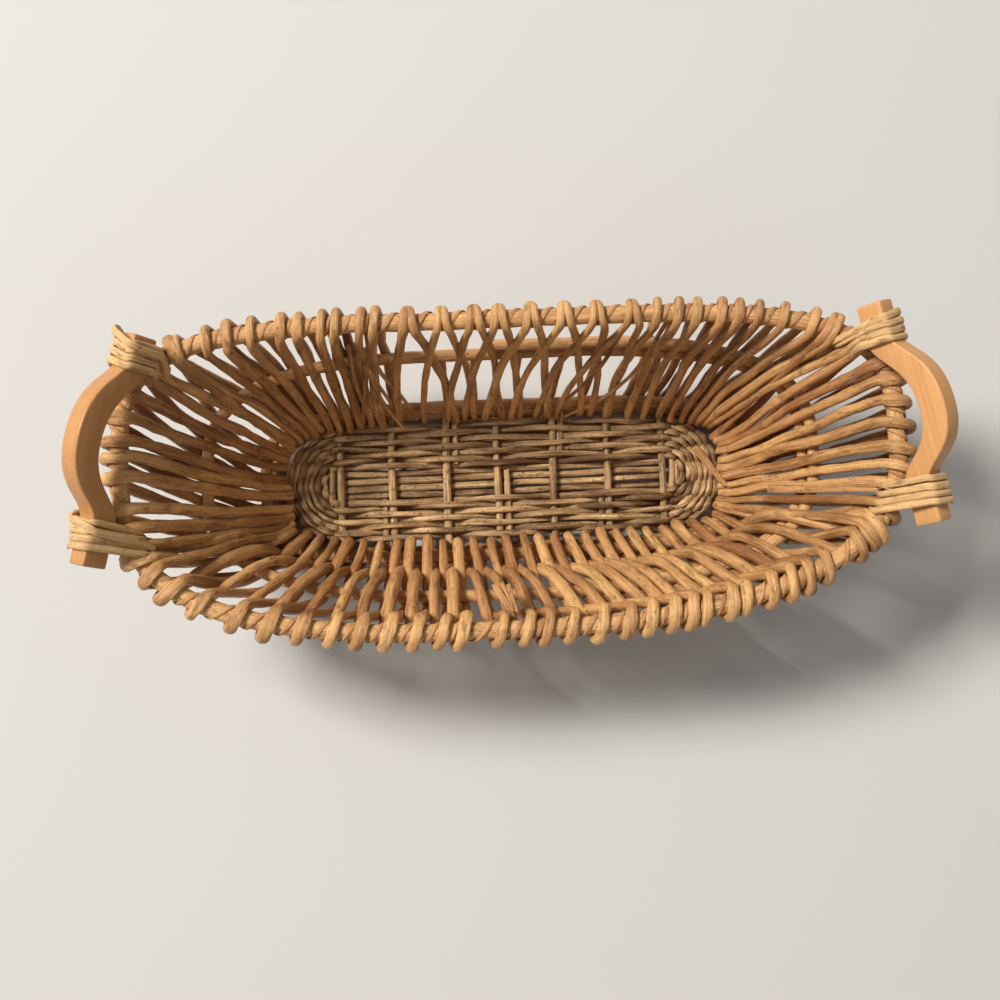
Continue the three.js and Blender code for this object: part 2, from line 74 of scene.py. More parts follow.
# Where the wall rods cross the rim and where their front and back legs meet the base, along the length
# on the two long sides and across it at the two ends
FAR_WRAPS = (
    226, 213, 199, 180, 164, 151, 140, 124, 112, 98, 80, 57, 36, 14, -7, -23, -44, -66, -86, -95,
    -111, -120, -135, -146, -165, -180, -193, -211, -225,
)
FAR_FRONT_FEET = (
    158, 153, 148, 142, 134, 125, 116, 105, 92, 75, 41, 24, 6, -12, -26, -38, -57, -74, -87, -96,
    -105, -111, -120, -126, -134, -140, -146, -152, -158,
)
FAR_BACK_FEET = (
    160, 155, 151, 145, 139, 131, 122, 114, 105, 94, 80, 64, 58, 33, 14, -1, -20, -34, -78, -88,
    -99, -106, -114, -122, -130, -137, -143, -149, -155,
)
FAR_OPEN = range(10, 18)  # the loops of the open lattice in the far wall's middle
NEAR_WRAPS = (
    -239, -220, -203, -180, -160, -140, -120, -103, -85, -67, -50, -37, -12, 5, 18, 34, 53, 71, 85,
    100, 112, 121, 138, 147, 164, 177, 188, 200, 221, 233,
)
NEAR_FEET = (-163, 166)  # the first and the last of evenly spaced ones
LEFT_WRAPS = (83, 71, 58, 42, 27, 17, 4, -17, -31, -44, -58)
LEFT_FEET = (38, 31, 24, 16, 7, 1, -6, -17, -24, -30, -36)
RIGHT_WRAPS = (-53, -38, -24, -10, 2, 18, 33, 47, 59, 71, 83)
RIGHT_FEET = (-32, -25, -17, -11, -5, 1, 7, 14, 20, 27, 34)
WRAPS = {"far": FAR_WRAPS, "left": LEFT_WRAPS, "near": NEAR_WRAPS, "right": RIGHT_WRAPS}

# Cross sticks of the base, along the length, with the side of a second stick beside each and its two ends
CROSS_STICKS = (
    (-120, -1, -14, 14),
    (-82, -1, -47, -11),
    (-42, 1, 13, 47),
    (-5, 1, -47, 7),
    (36, 1, 16, 47),
    (76.5, -1, -47, -12),
    (117, 1, -14, 14),
)

# Loose ends: thickness, how flat, and points along each
LOOSE_RODS = (
    (3.4, 0.9, ((-99, 87, 124), (-97, 71, 84), (-93, 54, 46), (-88, 42, 22))),
    (3.0, 0.9, ((-96, 86, 122), (-91, 68, 80), (-83, 53, 46), (-73, 41, 21))),
    (3.6, 0.8, ((-92, 85, 118), (-95, 69, 86), (-99, 55, 48), (-102, 42, 22))),
    (2.8, 0.9, ((-99, 84, 114), (-88, 67, 76), (-79, 54, 44), (-75, 44, 24))),
    (3.0, 0.9, ((-92, 84, 112), (-83, 70, 86), (-71, 58, 54), (-62, 46, 26))),
    (3.2, 0.8, ((-104, 86, 120), (-103, 68, 78), (-98, 52, 44), (-95, 41, 21))),
    (3.2, 0.9, ((81, 95, 124), (67, 72, 78), (48, 56, 42), (28, 45, 22))),
    (3.0, 0.9, ((107, 94, 124), (92, 69, 74), (70, 53, 40), (46, 44, 21))),
    (5.6, 1.0, ((-43, 84, 67), (-42, 76, 50), (-40, 61, 16))),
    (5.2, 1.0, ((-20, 84, 66), (-21, 77, 50), (-19, 61, 16))),
    (5.8, 1.0, ((11, 84, 67), (10, 76, 50), (12, 61, 16))),
    (5.4, 1.0, ((43, 85, 69), (41, 77, 50), (38, 61, 16))),
    (5.6, 1.0, ((68, 85, 69), (66, 77, 50), (62, 61, 16))),
    (5.2, 0.5, ((141, 17, 22), (151, 3, 24), (161, -12, 27))),
    (5.6, 0.3, ((183, -17, 67), (206, -20, 100), (236, -23, 143))),
    (4.8, 0.35, ((176, -40, 60), (204, -38, 95), (233, -34, 135))),
    (3.6, 0.5, ((-15, -75, 121), (-10, -84, 131), (-5, -92, 142))),
    (2.8, 0.5, ((-10, -74, 121), (-6, -83, 130), (-4, -91, 141))),
    (2.6, 0.4, ((-6, -75, 124), (-4, -84, 132), (-2, -92, 142))),
)


# Vectors and paths
def unit(vectors):
    return vectors / np.linalg.norm(vectors, axis=-1, keepdims=True)


def running(steps):
    """The sums of some steps, from nothing on."""
    return np.concatenate([[0], np.cumsum(steps)])


def gaps(path):
    """The distances between the neighbouring points of a path."""
    return np.linalg.norm(np.diff(path, axis=0), axis=1)


def ends_fade(reach, length, over):
    """From 0 at a path's two ends to 1 some way from them."""
    return np.minimum(1, np.minimum(reach, length - reach) / over)


def spline_through(points, step=1.0):
    """Points a step apart on a smooth curve through some points, and where each lies between those."""
    points = np.asarray(points, float)
    t = running(np.sqrt(gaps(points)))
    slope = np.diff(points, axis=0) / np.diff(t)[:, None]
    tangent = np.empty_like(points)
    tangent[0], tangent[-1] = slope[0], slope[-1]
    before, after = np.diff(t)[:-1, None], np.diff(t)[1:, None]
    tangent[1:-1] = (slope[1:] * before + slope[:-1] * after) / (before + after)

    def curve(at):
        i = np.clip(np.searchsorted(t, at, side="right") - 1, 0, len(t) - 2)
        gap = (t[i + 1] - t[i])[:, None]
        u = ((at - t[i]) / (t[i + 1] - t[i]))[:, None]
        first = (1 + 2 * u) * (1 - u) ** 2 * points[i] + u * (1 - u) ** 2 * gap * tangent[i]
        return first + u**2 * (3 - 2 * u) * points[i + 1] + u**2 * (u - 1) * gap * tangent[i + 1]

    fine = np.linspace(0, t[-1], 40 * len(points))
    reach = running(gaps(curve(fine)))
    count = max(4, int(round(reach[-1] / step)))
    at = np.interp(np.linspace(0, reach[-1], count + 1), reach, fine)
    return curve(at), np.interp(at, t, np.arange(len(t)))


def spread(values, where):
    """Values given at a path's points, at places between these."""
    values = np.asarray(values, float)
    if values.ndim == 1:
        return np.interp(where, np.arange(len(values)), values)
    return np.stack([np.interp(where, np.arange(len(values)), v) for v in values.T], -1)


def thinned(path, most_turn=9.0, most_gap=6.0):
    """Which points of a fine path to keep, closer together where it bends."""
    tangent = unit(np.gradient(path, axis=0))
    kept_points = [0]
    for i in range(1, len(path) - 1):
        last = kept_points[-1]
        turn = math.degrees(math.acos(np.clip(tangent[i] @ tangent[last], -1, 1)))
        if turn > most_turn or np.linalg.norm(path[i] - path[last]) > most_gap:
            kept_points.append(i)
    kept_points.append(len(path) - 1)
    return np.array(kept_points)


def evened(values, times):
    """Values along a path with their corners softened."""
    for _ in range(times):
        values = values.copy()
        values[1:-1] = (values[:-2] + 2 * values[1:-1] + values[2:]) / 4
    return values


def steady(path, facing):
    """The same facing at every point of a path."""
    return np.broadcast_to(np.asarray(facing, float), path.shape)


def astray(rng, most):
    """A seeded distance to either side."""
    return rng.uniform(-most, most)


def ripple(reach, wavelength, rng, terms=4):
    """An even, seeded ripple between about -1 and 1 along a path."""
    total = np.zeros_like(reach)
    for _ in range(terms):
        size = wavelength * rng.uniform(0.6, 1.8)
        total += np.sin(2 * math.pi * (reach / size + rng.random()))
    return total / terms * 1.6


def swelling(keep, size, wavelength, rng):
    """A slow, seeded swelling around 1 along the kept points of a path."""
    return 1 + size * ripple(np.arange(len(keep)) * KEPT_GAP, wavelength, rng)


class Outline:
    """A hoop's centre line. Places run from 0 at the right end over 1 at the far middle, 2 and 3."""

    samples = 160
    nearby = 0.01  # between a place and its neighbours, where a direction is read

    def __init__(self, half_length, far, near, square, height, sheer):
        self.half_length = half_length
        self.height = height
        self.sheer = sheer
        xs, ys, places = [], [], []
        for quarter in range(4):
            angle = np.linspace(0, math.pi / 2, self.samples + 1)
            if quarter % 2:
                angle = angle[::-1]
            power = 2 / square[quarter]
            right = 1 if quarter in (0, 3) else -1
            x = right * half_length * np.clip(np.cos(angle), 0, 1) ** power
            y = (far if quarter < 2 else -near) * np.clip(np.sin(angle), 0, 1) ** power
            reach = running(np.hypot(np.diff(x), np.diff(y)))
            xs.append(x[:-1])
            ys.append(y[:-1])
            places.append(quarter + reach[:-1] / reach[-1])
        self.xs = np.append(np.concatenate(xs), half_length)
        self.ys = np.append(np.concatenate(ys), 0.0)
        self.places = np.append(np.concatenate(places), 4.0)

    def at(self, place):
        wrapped = np.mod(place, 4)
        x = np.interp(wrapped, self.places, self.xs)
        y = np.interp(wrapped, self.places, self.ys)
        z = self.height + self.sheer * (x / self.half_length) ** 2
        return np.stack([x, y, z], -1)

    def passing(self, place):
        """The way from just before a place to just after it."""
        return self.at(np.add(place, self.nearby)) - self.at(np.subtract(place, self.nearby))

    def along(self, place):
        return unit(self.passing(place))

    def outward(self, place):
        along = self.along(place)
        return unit(np.stack([along[..., 1], -along[..., 0], np.zeros_like(along[..., 0])], -1))

    def around(self, place, degrees):
        """A direction round the hoop's section: 0 is outwards, 90 up and 180 inwards."""
        angle = math.radians(degrees)
        return self.outward(place) * math.cos(angle) + UP * math.sin(angle)

    def moved(self, place, distance):
        """The place a number of millimetres further along."""
        step = np.linalg.norm(self.passing(place)) / (2 * self.nearby)
        return place + distance / step

    def beside(self, place, offset, height=None):
        """A point outside the hoop by an offset, or inside it where that is negative."""
        point = self.at(place) + self.outward(place) * offset
        if height is not None:
            point[2] = height
        return point

    def far_place(self, x):
        part = slice(2 * self.samples + 1)
        return float(np.interp(-x, -self.xs[part], self.places[part]))

    def near_place(self, x):
        part = slice(2 * self.samples, None)
        return float(np.interp(x, self.xs[part], self.places[part]))

    def left_place(self, y):
        part = slice(self.samples, 3 * self.samples + 1)
        return float(np.interp(-y, -self.ys[part], self.places[part]))

    def right_place(self, y):
        before, after = slice(3 * self.samples, -1), slice(self.samples + 1)
        ys = np.concatenate([self.ys[before], self.ys[after]])
        places = np.concatenate([self.places[before], self.places[after] + 4])
        return float(np.interp(y, ys, places))

    def place_on(self, side, along):
        """The place on one of the four sides, by the x of a long side or the y of an end."""
        return getattr(self, f"{side}_place")(along)


LOWER = Outline(*LOWER_HOOP)
UPPER = Outline(*UPPER_HOOP)
MIDDLE = Outline(*MIDDLE_HOOP)
RIM = Outline(*RIM_HOOP)

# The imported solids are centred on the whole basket, so all pieces shift with the rim
RIM_LOW, RIM_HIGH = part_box("rim_hoop")
SHIFT = np.array([0.0, 500 * (RIM_LOW.y + RIM_HIGH.y) - RIM_OFF_CENTRE, 0.0])

# Meshes
CUT_PALER = 0.35  # how much paler a rod's cut ends are than its side
CUT_SLANT = 0.25  # how far a cut may slant
CUT_EDGE = (0.93, 0.25)  # share of the section and step outwards within a cut's worn edge
SHARP_ANGLE = math.radians(52)  # edges sharper than this stay crisp
LONG_LUMPS, SHORT_LUMPS, SHORT_SHARE = 30, 14, 0.6
LUMP_TWIST = 60  # of length, over which the short lumps turn round the rod
KNOT_REACH, KNOT_SWELL, KNOT_CLEAR = 3.2, 0.13, 10  # half length, height, and distance from a rod's ends
FLAT_SQUARE = 0.45  # how much squarer the section gets where a rod is pressed flat
SIDE_SPOTS = 0.96  # of the bake map's width, for the rods' sides, with their cut ends beyond
CUT_SPOT = 0.978
CUT_SPOT_SIZES = ((0.016, 0.45), (0.010, 0.3))  # of a cut's edge and of its flat
ROD_SPOT, ROD_SPOT_MARGIN = 0.94, 0.03  # share of a rod's strip in the bake map, and what stays free below


def lumpy(reach, length, angle, closed, knots, rough, rng):
    """How much a rod swells round each of its points: long and short lumps, and small knots."""
    swell = np.ones((len(reach), len(angle)))
    if rough:
        turn = np.cos(angle[None, :] - rng.uniform(0, FULL_TURN) - reach[:, None] / LUMP_TWIST)
        fade = ends_fade(reach, length, 20)[:, None] if closed else 1
        lumps = ripple(reach, LONG_LUMPS, rng)[:, None]
        swell += fade * rough * (lumps + SHORT_SHARE * ripple(reach, SHORT_LUMPS, rng)[:, None] * turn)
    if knots:
        at = rng.uniform(KNOT_CLEAR, knots)
        while at < length - KNOT_CLEAR:
            bump = np.exp(-(((reach - at) / KNOT_REACH) ** 2))[:, None]
            one_side = np.clip(np.cos(angle - rng.uniform(0, FULL_TURN)), -0.2, 1)
            swell += KNOT_SWELL * bump * one_side[None, :]
            at += rng.uniform(0.6, 1.4) * knots
    return swell


def ring_faces(rows, count, sides):
    """Faces between neighbouring rings of points."""
    i, j = np.indices((rows, sides))
    after, beyond = (i + 1) % count, (j + 1) % sides
    faces = np.stack([i * sides + j, i * sides + beyond, after * sides + beyond, after * sides + j], -1)
    return faces.reshape(-1, 4)


def new_mesh(name, points, faces, smooth):
    mesh = bpy.data.meshes.new(name)
    mesh.from_pydata(((points + SHIFT) * MM).tolist(), [], faces)
    mesh.polygons.foreach_set("use_smooth", smooth)
    return mesh


def mark(mesh, grain, **values):
    """Keeps the grain's directions and some single values at a mesh's points, for its material."""
    made = mesh.attributes.new("grain", "FLOAT_VECTOR", "POINT")
    made.data.foreach_set("vector", (grain * MM).astype(np.float32).ravel())
    for key, value in values.items():
        made = mesh.attributes.new(key, "FLOAT", "POINT")
        made.data.foreach_set("value", value.astype(np.float32))


def add_piece(mesh, material, nodes):
    """The mesh as a piece that rides on the basket and stands for some of its solids."""
    mesh.materials.append(material)
    mesh.validate()
    mesh.update()
    piece = bpy.data.objects.new(mesh.name, mesh)
    bpy.context.scene.collection.objects.link(piece)
    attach(piece, BODY)
    if nodes:
        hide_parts(*nodes)


class Bundle:
    """Collects swept rods, with their grain and tone, and turns them into one mesh."""

    def __init__(self):
        self.points, self.grain, self.tone, self.own = [], [], [], []
        self.faces, self.spots, self.smooth = [], [], []
        self.rods = 0

    def count(self):
        return sum(len(points) for points in self.points)

    def add(
        self, path, half_width, half_depth, facing, tone, rng,
        sides=10, closed=False, knots=0.0, rough=0.04, flat=0.0,
    ):
        """Sweeps an oval section along a path. facing is the way its thin side looks at each point.

        knots is the usual distance between knots, rough the size of the lumps, and flat squares the
        oval up, as where a rod is pressed into a strap.
        """
        count, first = len(path), self.count()
        if closed:
            tangent = unit(np.roll(path, -1, axis=0) - np.roll(path, 1, axis=0))
        else:
            tangent = unit(np.gradient(path, axis=0))
        normal = unit(facing - (facing * tangent).sum(1, keepdims=True) * tangent)
        side = np.cross(tangent, normal)
        reach = running(gaps(path))
        length = reach[-1] + (np.linalg.norm(path[0] - path[-1]) if closed else 0)
        angle = 2 * math.pi * np.arange(sides) / sides
        swell = lumpy(reach, length, angle, closed, knots, rough, rng)
        power = 1 - FLAT_SQUARE * np.broadcast_to(flat, count)[:, None]
        across, beside = (
            np.sign(part) * np.abs(part) ** power * half[:, None] * swell
            for part, half in ((np.cos(angle)[None, :], half_depth), (np.sin(angle)[None, :], half_width))
        )
        ring = path[:, None] + across[..., None] * normal[:, None] + beside[..., None] * side[:, None]
        start = rng.uniform(0, 4000)
        along = np.broadcast_to(start + reach[:, None], across.shape)
        grain = np.stack([along, across, beside + start], -1)
        own = rng.random()
        self.points.append(ring.reshape(-1, 3))
        self.grain.append(grain.reshape(-1, 3))
        self.tone.append(np.repeat(np.broadcast_to(tone, count), sides))
        self.own.append(np.full(count * sides, own))
        rows = count if closed else count - 1
        self.faces += (first + ring_faces(rows, count, sides)).tolist()
        self.smooth += [True] * (rows * sides)
        i, j = np.indices((rows, sides))
        share = np.append(reach, length) / length * SIDE_SPOTS
        corners = ((i, j), (i, j + 1), (i + 1, j + 1), (i + 1, j))
        spots = np.stack([np.stack([share[a], b / sides], -1) for a, b in corners], -2)
        self.spots.append((self.rods, spots.reshape(-1, 2)))
        if not closed:
            for end, sense in ((0, -1), (count - 1, 1)):
                out = tangent[end] * sense
                self._cap(ring[end], path[end], out, sense, grain[end], first + end * sides, rng)
                self.tone.append(np.full(sides, min(1.0, np.mean(tone) + CUT_PALER)))
                self.own.append(np.full(sides, own))
        self.rods += 1

    def _cap(self, ring, centre, out, sense, grain, at, rng):
        """A cut end: a narrow worn edge and a slightly slanted flat."""
        sides, first = len(ring), self.count()
        slant = np.cross(out, rng.normal(size=3)) * CUT_SLANT
        inner = centre + (ring - centre) * CUT_EDGE[0] + out * CUT_EDGE[1]
        inner = inner + np.outer((inner - centre) @ slant, out)
        self.points.append(inner)
        self.grain.append(grain * np.array([1, 0.86, 1]) + np.array([0.4, 0, 0]))
        corners = np.linspace(0, 2 * math.pi, sides + 1)
        outer_spot, inner_spot = (
            np.stack([CUT_SPOT + wide * np.cos(corners), 0.5 + high * np.sin(corners)], -1)
            for wide, high in CUT_SPOT_SIZES
        )
        spots = []
        for j in range(sides):
            k = (j + 1) % sides
            quad = [at + j, at + k, first + k, first + j]
            spot = [outer_spot[j], outer_spot[j + 1], inner_spot[j + 1], inner_spot[j]]
            self.faces.append(quad[::sense])
            spots += spot[::sense]
        self.faces.append(list(range(first, first + sides))[::sense])
        spots += list(inner_spot[:-1][::sense])
        self.spots.append((self.rods, np.array(spots)))
        self.smooth += [False] * (sides + 1)

    def build(self, name, material, nodes):
        mesh = new_mesh(name, np.concatenate(self.points), self.faces, self.smooth)
        mesh.set_sharp_from_angle(angle=SHARP_ANGLE)
        tone, own = np.concatenate(self.tone), np.concatenate(self.own)
        mark(mesh, np.concatenate(self.grain), tone=tone, own=own)
        strips = [
            spots * [1, ROD_SPOT / self.rods] + [0, (rod + ROD_SPOT_MARGIN) / self.rods]
            for rod, spots in self.spots
        ]
        spots = np.concatenate(strips).astype(np.float32)
        mesh.uv_layers.new(name="OFBake").data.foreach_set("uv", spots.ravel())
        add_piece(mesh, material, nodes)


# Materials
def arithmetic(operation, swapped=False):
    """A method that joins a signal and another value in a Math node."""

    def join(self, other):
        first, second = (other, self) if swapped else (self, other)
        return self.math(operation, first, second)

    return join


class Signal:
    """One output of a shader node. Arithmetic on it adds Math nodes."""

    def __init__(self, finish, socket):
        self.finish = finish
        self.socket = socket

    def math(self, operation, first, second, clamp=False):
        settings = {"operation": operation, "use_clamp": clamp}
        return self.finish.node("ShaderNodeMath", settings, {0: first, 1: second})

    def clamped(self):
        return self.math("ADD", self, 0.0, clamp=True)

    __add__ = arithmetic("ADD")
    __radd__ = arithmetic("ADD", True)
    __sub__ = arithmetic("SUBTRACT")
    __rsub__ = arithmetic("SUBTRACT", True)
    __mul__ = arithmetic("MULTIPLY")
    __gt__ = arithmetic("GREATER_THAN")
    __lt__ = arithmetic("LESS_THAN")


class Finish:
    """A material and the nodes of its surface."""

    def __init__(self, name):
        self.material = bpy.data.materials.new(name)
        self.material.use_nodes = True
        self.tree = self.material.node_tree
        self.surface = self.tree.nodes["Principled BSDF"]

    def node(self, kind, settings=None, inputs=None, output=0):
        """Adds a node with its settings, then the values or links of its sockets."""
        made = self.tree.nodes.new(kind)
        for key, value in (settings or {}).items():
            setattr(made, key, value)
        for key, value in (inputs or {}).items():
            self.feed(made.inputs[key], value)
        return Signal(self, made.outputs[output])

    def feed(self, socket, value):
        if isinstance(value, Signal):
            self.tree.links.new(value.socket, socket)
        else:
            socket.default_value = value

    def shade(self, **inputs):
        for key, value in inputs.items():
            self.feed(self.surface.inputs[key.replace("_", " ")], value)
        return self.material

    def attribute(self, name, output):
        return self.node("ShaderNodeAttribute", {"attribute_name": name}, output=output)

    def scaled(self, vector, scale):
        return self.node("ShaderNodeVectorMath", {"operation": "MULTIPLY"}, {0: vector, 1: scale})

    def noise(self, vector, scale, detail, roughness=0.55):
        """A noise with its own number of cells to a metre along each direction."""
        inputs = {"Vector": self.scaled(vector, scale), "Scale": 1.0}
        inputs |= {"Detail": detail, "Roughness": roughness}
        return self.node("ShaderNodeTexNoise", None, inputs)

    def mixed(self, factor, first, second):
        return self.node("ShaderNodeMix", {"data_type": "RGBA"}, {0: factor, 6: first, 7: second}, 2)

    def layered(self, depth, dark, light, *layers):
        """A colour between dark and light, with other colours laid over it, each by its own factor."""
        colour = self.mixed(depth, opaque(dark), opaque(light))
        for factor, over in layers:
            colour = self.mixed(factor, colour, opaque(over))
        return colour

    def bumped(self, height, strength, distance):
        inputs = {"Height": height, "Strength": strength, "Distance": distance}
        return self.node("ShaderNodeBump", None, inputs)


def opaque(colour):
    return (*colour[:3], 1.0)


def contrast(noise, gain):
    """A noise pulled apart around its middle, within 0 and 1."""
    return ((noise - 0.5) * gain + 0.5).clamped()


def willow_finish(name, colours, tint, speck, gloss, pale=0.0):
    """Peeled willow: long streaks, worn patches, small dark pits and a tone of its own for each rod."""
    finish = Finish(name)
    grain = finish.attribute("grain", "Vector")
    tone = finish.attribute("tone", "Fac")
    own = finish.attribute("own", "Fac")
    streak = contrast(finish.noise(grain, (20, 520, 520), 5, 0.62), 3.0)
    fibre = contrast(finish.noise(grain, (60, 2000, 2000), 3), 2.6)
    blotch = contrast(finish.noise(grain, (30, 90, 90), 4, 0.6), 3.0)
    stain = contrast(finish.noise(grain, (80, 200, 200), 4, 0.65), 3.2)
    lumps = finish.noise(grain, (120, 240, 240), 3)
    mottle = contrast(finish.noise(grain, (240, 480, 480), 4, 0.7), 2.6)
    cells = {"Vector": finish.scaled(grain, (170, 330, 330)), "Scale": 1.0}
    pit_distance = finish.node("ShaderNodeTexVoronoi", None, cells, "Distance")
    pit_colour = finish.node("ShaderNodeTexVoronoi", None, cells, "Color")
    pick = finish.node("ShaderNodeSeparateColor", None, {0: pit_colour})
    pit = (pit_distance < 0.05 + pick * 0.1) * (pick > 1 - speck)
    wood = finish.layered(
        (tone * 0.9 + streak * 0.4 + blotch * 0.55 - 0.42).clamped(),
        colours.willow_dark,
        colours.willow_light,
        ((blotch * 0.5 + own * 0.9 - 0.35).clamped() * tint, colours.willow_rosy),
        (pale, colours.cane),
        ((1 - streak) * (1 - fibre) * 0.5, colours.willow_streak),
        ((stain - 0.66).clamped() * 1.6, colours.willow_streak),
        ((mottle - 0.55).clamped() * 0.7, colours.willow_streak),
        (pit * 0.75, colours.willow_pit),
    )
    height = streak * 0.5 + fibre * 0.4 + lumps * 1.3 + mottle * -0.3 + stain * -0.25 - pit * 0.6
    bump = finish.bumped(height, 0.75, 0.0011)
    dull = gloss + streak * 0.2
    return finish.shade(Base_Color=wood, Roughness=dull, Normal=bump, Specular_IOR_Level=0.45)


def base_finish(name, colours):
    """Unvarnished weavers of the base: greyer and drier than the wall."""
    finish = Finish(name)
    grain = finish.attribute("grain", "Vector")
    tone = finish.attribute("tone", "Fac")
    streak = contrast(finish.noise(grain, (24, 640, 640), 5, 0.62), 3.0)
    blotch = contrast(finish.noise(grain, (40, 90, 90), 4, 0.6), 3.2)
    dust = contrast(finish.noise(grain, (300, 600, 600), 3), 2.8)
    wood = finish.layered(
        (tone * 0.9 + streak * 0.4 + blotch * 0.6 - 0.45).clamped(),
        colours.base_dark,
        colours.base_light,
        ((1 - streak) * 0.7, colours.willow_streak),
        ((dust - 0.7).clamped() * 2.4, colours.willow_pit),
    )
    bump = finish.bumped(streak * 0.6 + dust * 0.3 + blotch * 0.4, 0.7, 0.0008)
    dull = 0.5 + streak * 0.2
    return finish.shade(Base_Color=wood, Roughness=dull, Normal=bump, Specular_IOR_Level=0.3)


def board_finish(name, colours):
    """Smooth sawn board with a fine straight grain and a thin varnish."""
    finish = Finish(name)
    grain = finish.attribute("grain", "Vector")
    tone = finish.attribute("tone", "Fac")
    bend = finish.noise(grain, (9, 26, 26), 2)
    lines = contrast(finish.noise(grain, (6, 330, 330), 5, 0.62), 2.2)
    pores = finish.noise(grain, (120, 2000, 2000), 2)
    soft = finish.noise(grain, (18, 30, 30), 2)
    wood = finish.layered(
        (tone + lines * 0.5 + bend * 0.35 + soft * 0.3 - 0.59).clamped(),
        colours.board_dark,
        colours.board_light,
        ((pores > 0.67) * 0.25, colours.willow_streak),
    )
    bump = finish.bumped(lines * 0.4 + pores * 0.3, 0.12, 0.0004)
    dull = 0.36 + lines * 0.14
    return finish.shade(Base_Color=wood, Roughness=dull, Normal=bump, Specular_IOR_Level=0.4)


def floor_finish(name, colour):
    """A plain pale floor with hardly any texture."""
    finish = Finish(name)
    where = finish.node("ShaderNodeNewGeometry", output="Position")
    soft = finish.noise(where, (3, 3, 3), 2)
    pale = finish.layered(soft * 0.12, colour, [c * 0.9 for c in colour[:3]])
    return finish.shade(Base_Color=pale, Roughness=0.9)


def kept(name, make, *values):
    """A material of that name, made once."""
    return bpy.data.materials.get(name) or make(name, *values)


def wall_finish(colours):
    return kept("peeled_wall", willow_finish, colours, 0.35, 0.3, 0.34)


def hoop_finish(colours):
    return kept("peeled_hoop", willow_finish, colours, 0.6, 0.35, 0.42)


def cane_finish(colours):
    return kept("pale_cane", willow_finish, colours, 0.1, 0.08, 0.38, 0.5)


def stick_finish(colours):
    return kept("dry_base", base_finish, colours)


# Settings
def length_setting(name, description, default):
    return bpy.props.FloatProperty(
        name=name, description=description, default=default * MM, unit="LENGTH", min=0.0
    )


def linear(level):
    """A screen colour's level from 0 to 255 as a share of light."""
    share = level / 255
    return share / 12.92 if share <= 0.04045 else ((share + 0.055) / 1.055) ** 2.4


def colour_setting(name, description, default):
    light = [linear(level) for level in default]
    return bpy.props.FloatVectorProperty(
        name=name, description=description, default=light, subtype="COLOR", size=3, min=0.0, max=1.0
    )


class BasketSizes(bpy.types.PropertyGroup):
    """Thicknesses that a user would change."""

    rim: length_setting("Rim", "Diameter of the rim hoop", 11.6)
    hoop: length_setting("Hoops", "Diameter of the middle and base hoops", 9.6)
    rod: length_setting("Wall rods", "Diameter of a wall rod along its legs", 6.8)
    wrap: length_setting("Wraps", "Width of a wall rod where it is pressed flat over the rim", 8.2)
    stick: length_setting("Base sticks", "Diameter of the base's cross and long sticks", 5.8)
    weaver: length_setting("Weavers", "Diameter of the base weavers", 4.6)
    board_width: length_setting("Handle width", "Width of the handles' flat face", 18.5)
    board_depth: length_setting("Handle depth", "Thickness of the handles' board", 13.5)
    cane: length_setting("Lashing cane", "Width of the cane in the lashings", 4.7)


class BasketColours(bpy.types.PropertyGroup):
    """Colours that a user would change."""

    willow_light: colour_setting("Willow, light", "Palest wall rods", (238, 187, 121))
    willow_dark: colour_setting("Willow, dark", "Darkest wall rods", (150, 98, 54))
    willow_rosy: colour_setting("Willow, rosy", "Rosy patches on the rods", (214, 148, 102))
    willow_streak: colour_setting("Streaks", "Dark streaks along the grain", (104, 66, 36))
    willow_pit: colour_setting("Pits", "Small dark pits in the bark side", (54, 34, 20))
    base_light: colour_setting("Base, light", "Palest base weavers", (234, 192, 138))
    base_dark: colour_setting("Base, dark", "Darkest base weavers", (88, 60, 38))
    cane: colour_setting("Cane", "Pale cane of the lashings", (232, 196, 142))
    board_light: colour_setting("Board, light", "Pale wood of the handles", (222, 166, 108))
    board_dark: colour_setting("Board, dark", "Grain of the handles", (182, 130, 80))
    floor: colour_setting("Floor", "Plain floor under the basket", (200, 198, 194))


class BasketSettings(bpy.types.PropertyGroup):
    """All settings of the basket."""

    sizes: bpy.props.PointerProperty(type=BasketSizes)
    colours: bpy.props.PointerProperty(type=BasketColours)


class PieceOperator:
    """Shared running of an operator, with the sizes in millimetres by name and the colours."""

    bl_options = {"REGISTER", "UNDO"}

    def execute(self, context):
        basket = context.scene.basket
        names = BasketSizes.__annotations__.keys()
        self.make({name: getattr(basket.sizes, name) / MM for name in names}, basket.colours)
        return {"FINISHED"}

    def make(self, sizes, colours):
        raise NotImplementedError


# Wall rods
WRAP_FLAT = (0.3, 0.7, 0.9, 1.0, 1.0, 0.85, 0.6, 0.35, 0.2, 0.1)
WRAP_FROM_TO = ((168, -20), (180, -40))  # degrees round the rim from its inner side, for each weave
WRAP_DEPTH = 0.54  # of a rod's thickness, where it is pressed flat
WRAP_SQUARE = 0.5  # how square a rod's section is where it is pressed flat
WRAP_CLEAR = 0.15
HOOK = (
    (172, 2.2), (150, 1.6), (120, 0.9), (90, 0.4), (60, 0.1), (35, -0.4), (20, -1.8),
    (35, -3.2), (60, -3.8), (90, -4.3), (120, -5.2), (150, -6.4), (172, -7.2),
)  # degrees over the rim and back in the open lattice, with the shift along it
HOOK_FLAT = 0.4
LEG_APART = 4.6  # along the rim, from a wrap to each of its legs
LEG_ASTRAY, FOOT_ASTRAY = 0.4, 1.2  # how far a leg and a foot stray from their places
MIDDLE_SHARE = 0.49  # of the way up the wall from the base to the rim, at the middle hoop
ROD_SPREAD, WRAP_SPREAD = (0.82, 1.14), (0.8, 1.18)  # least and most of the usual thickness and width
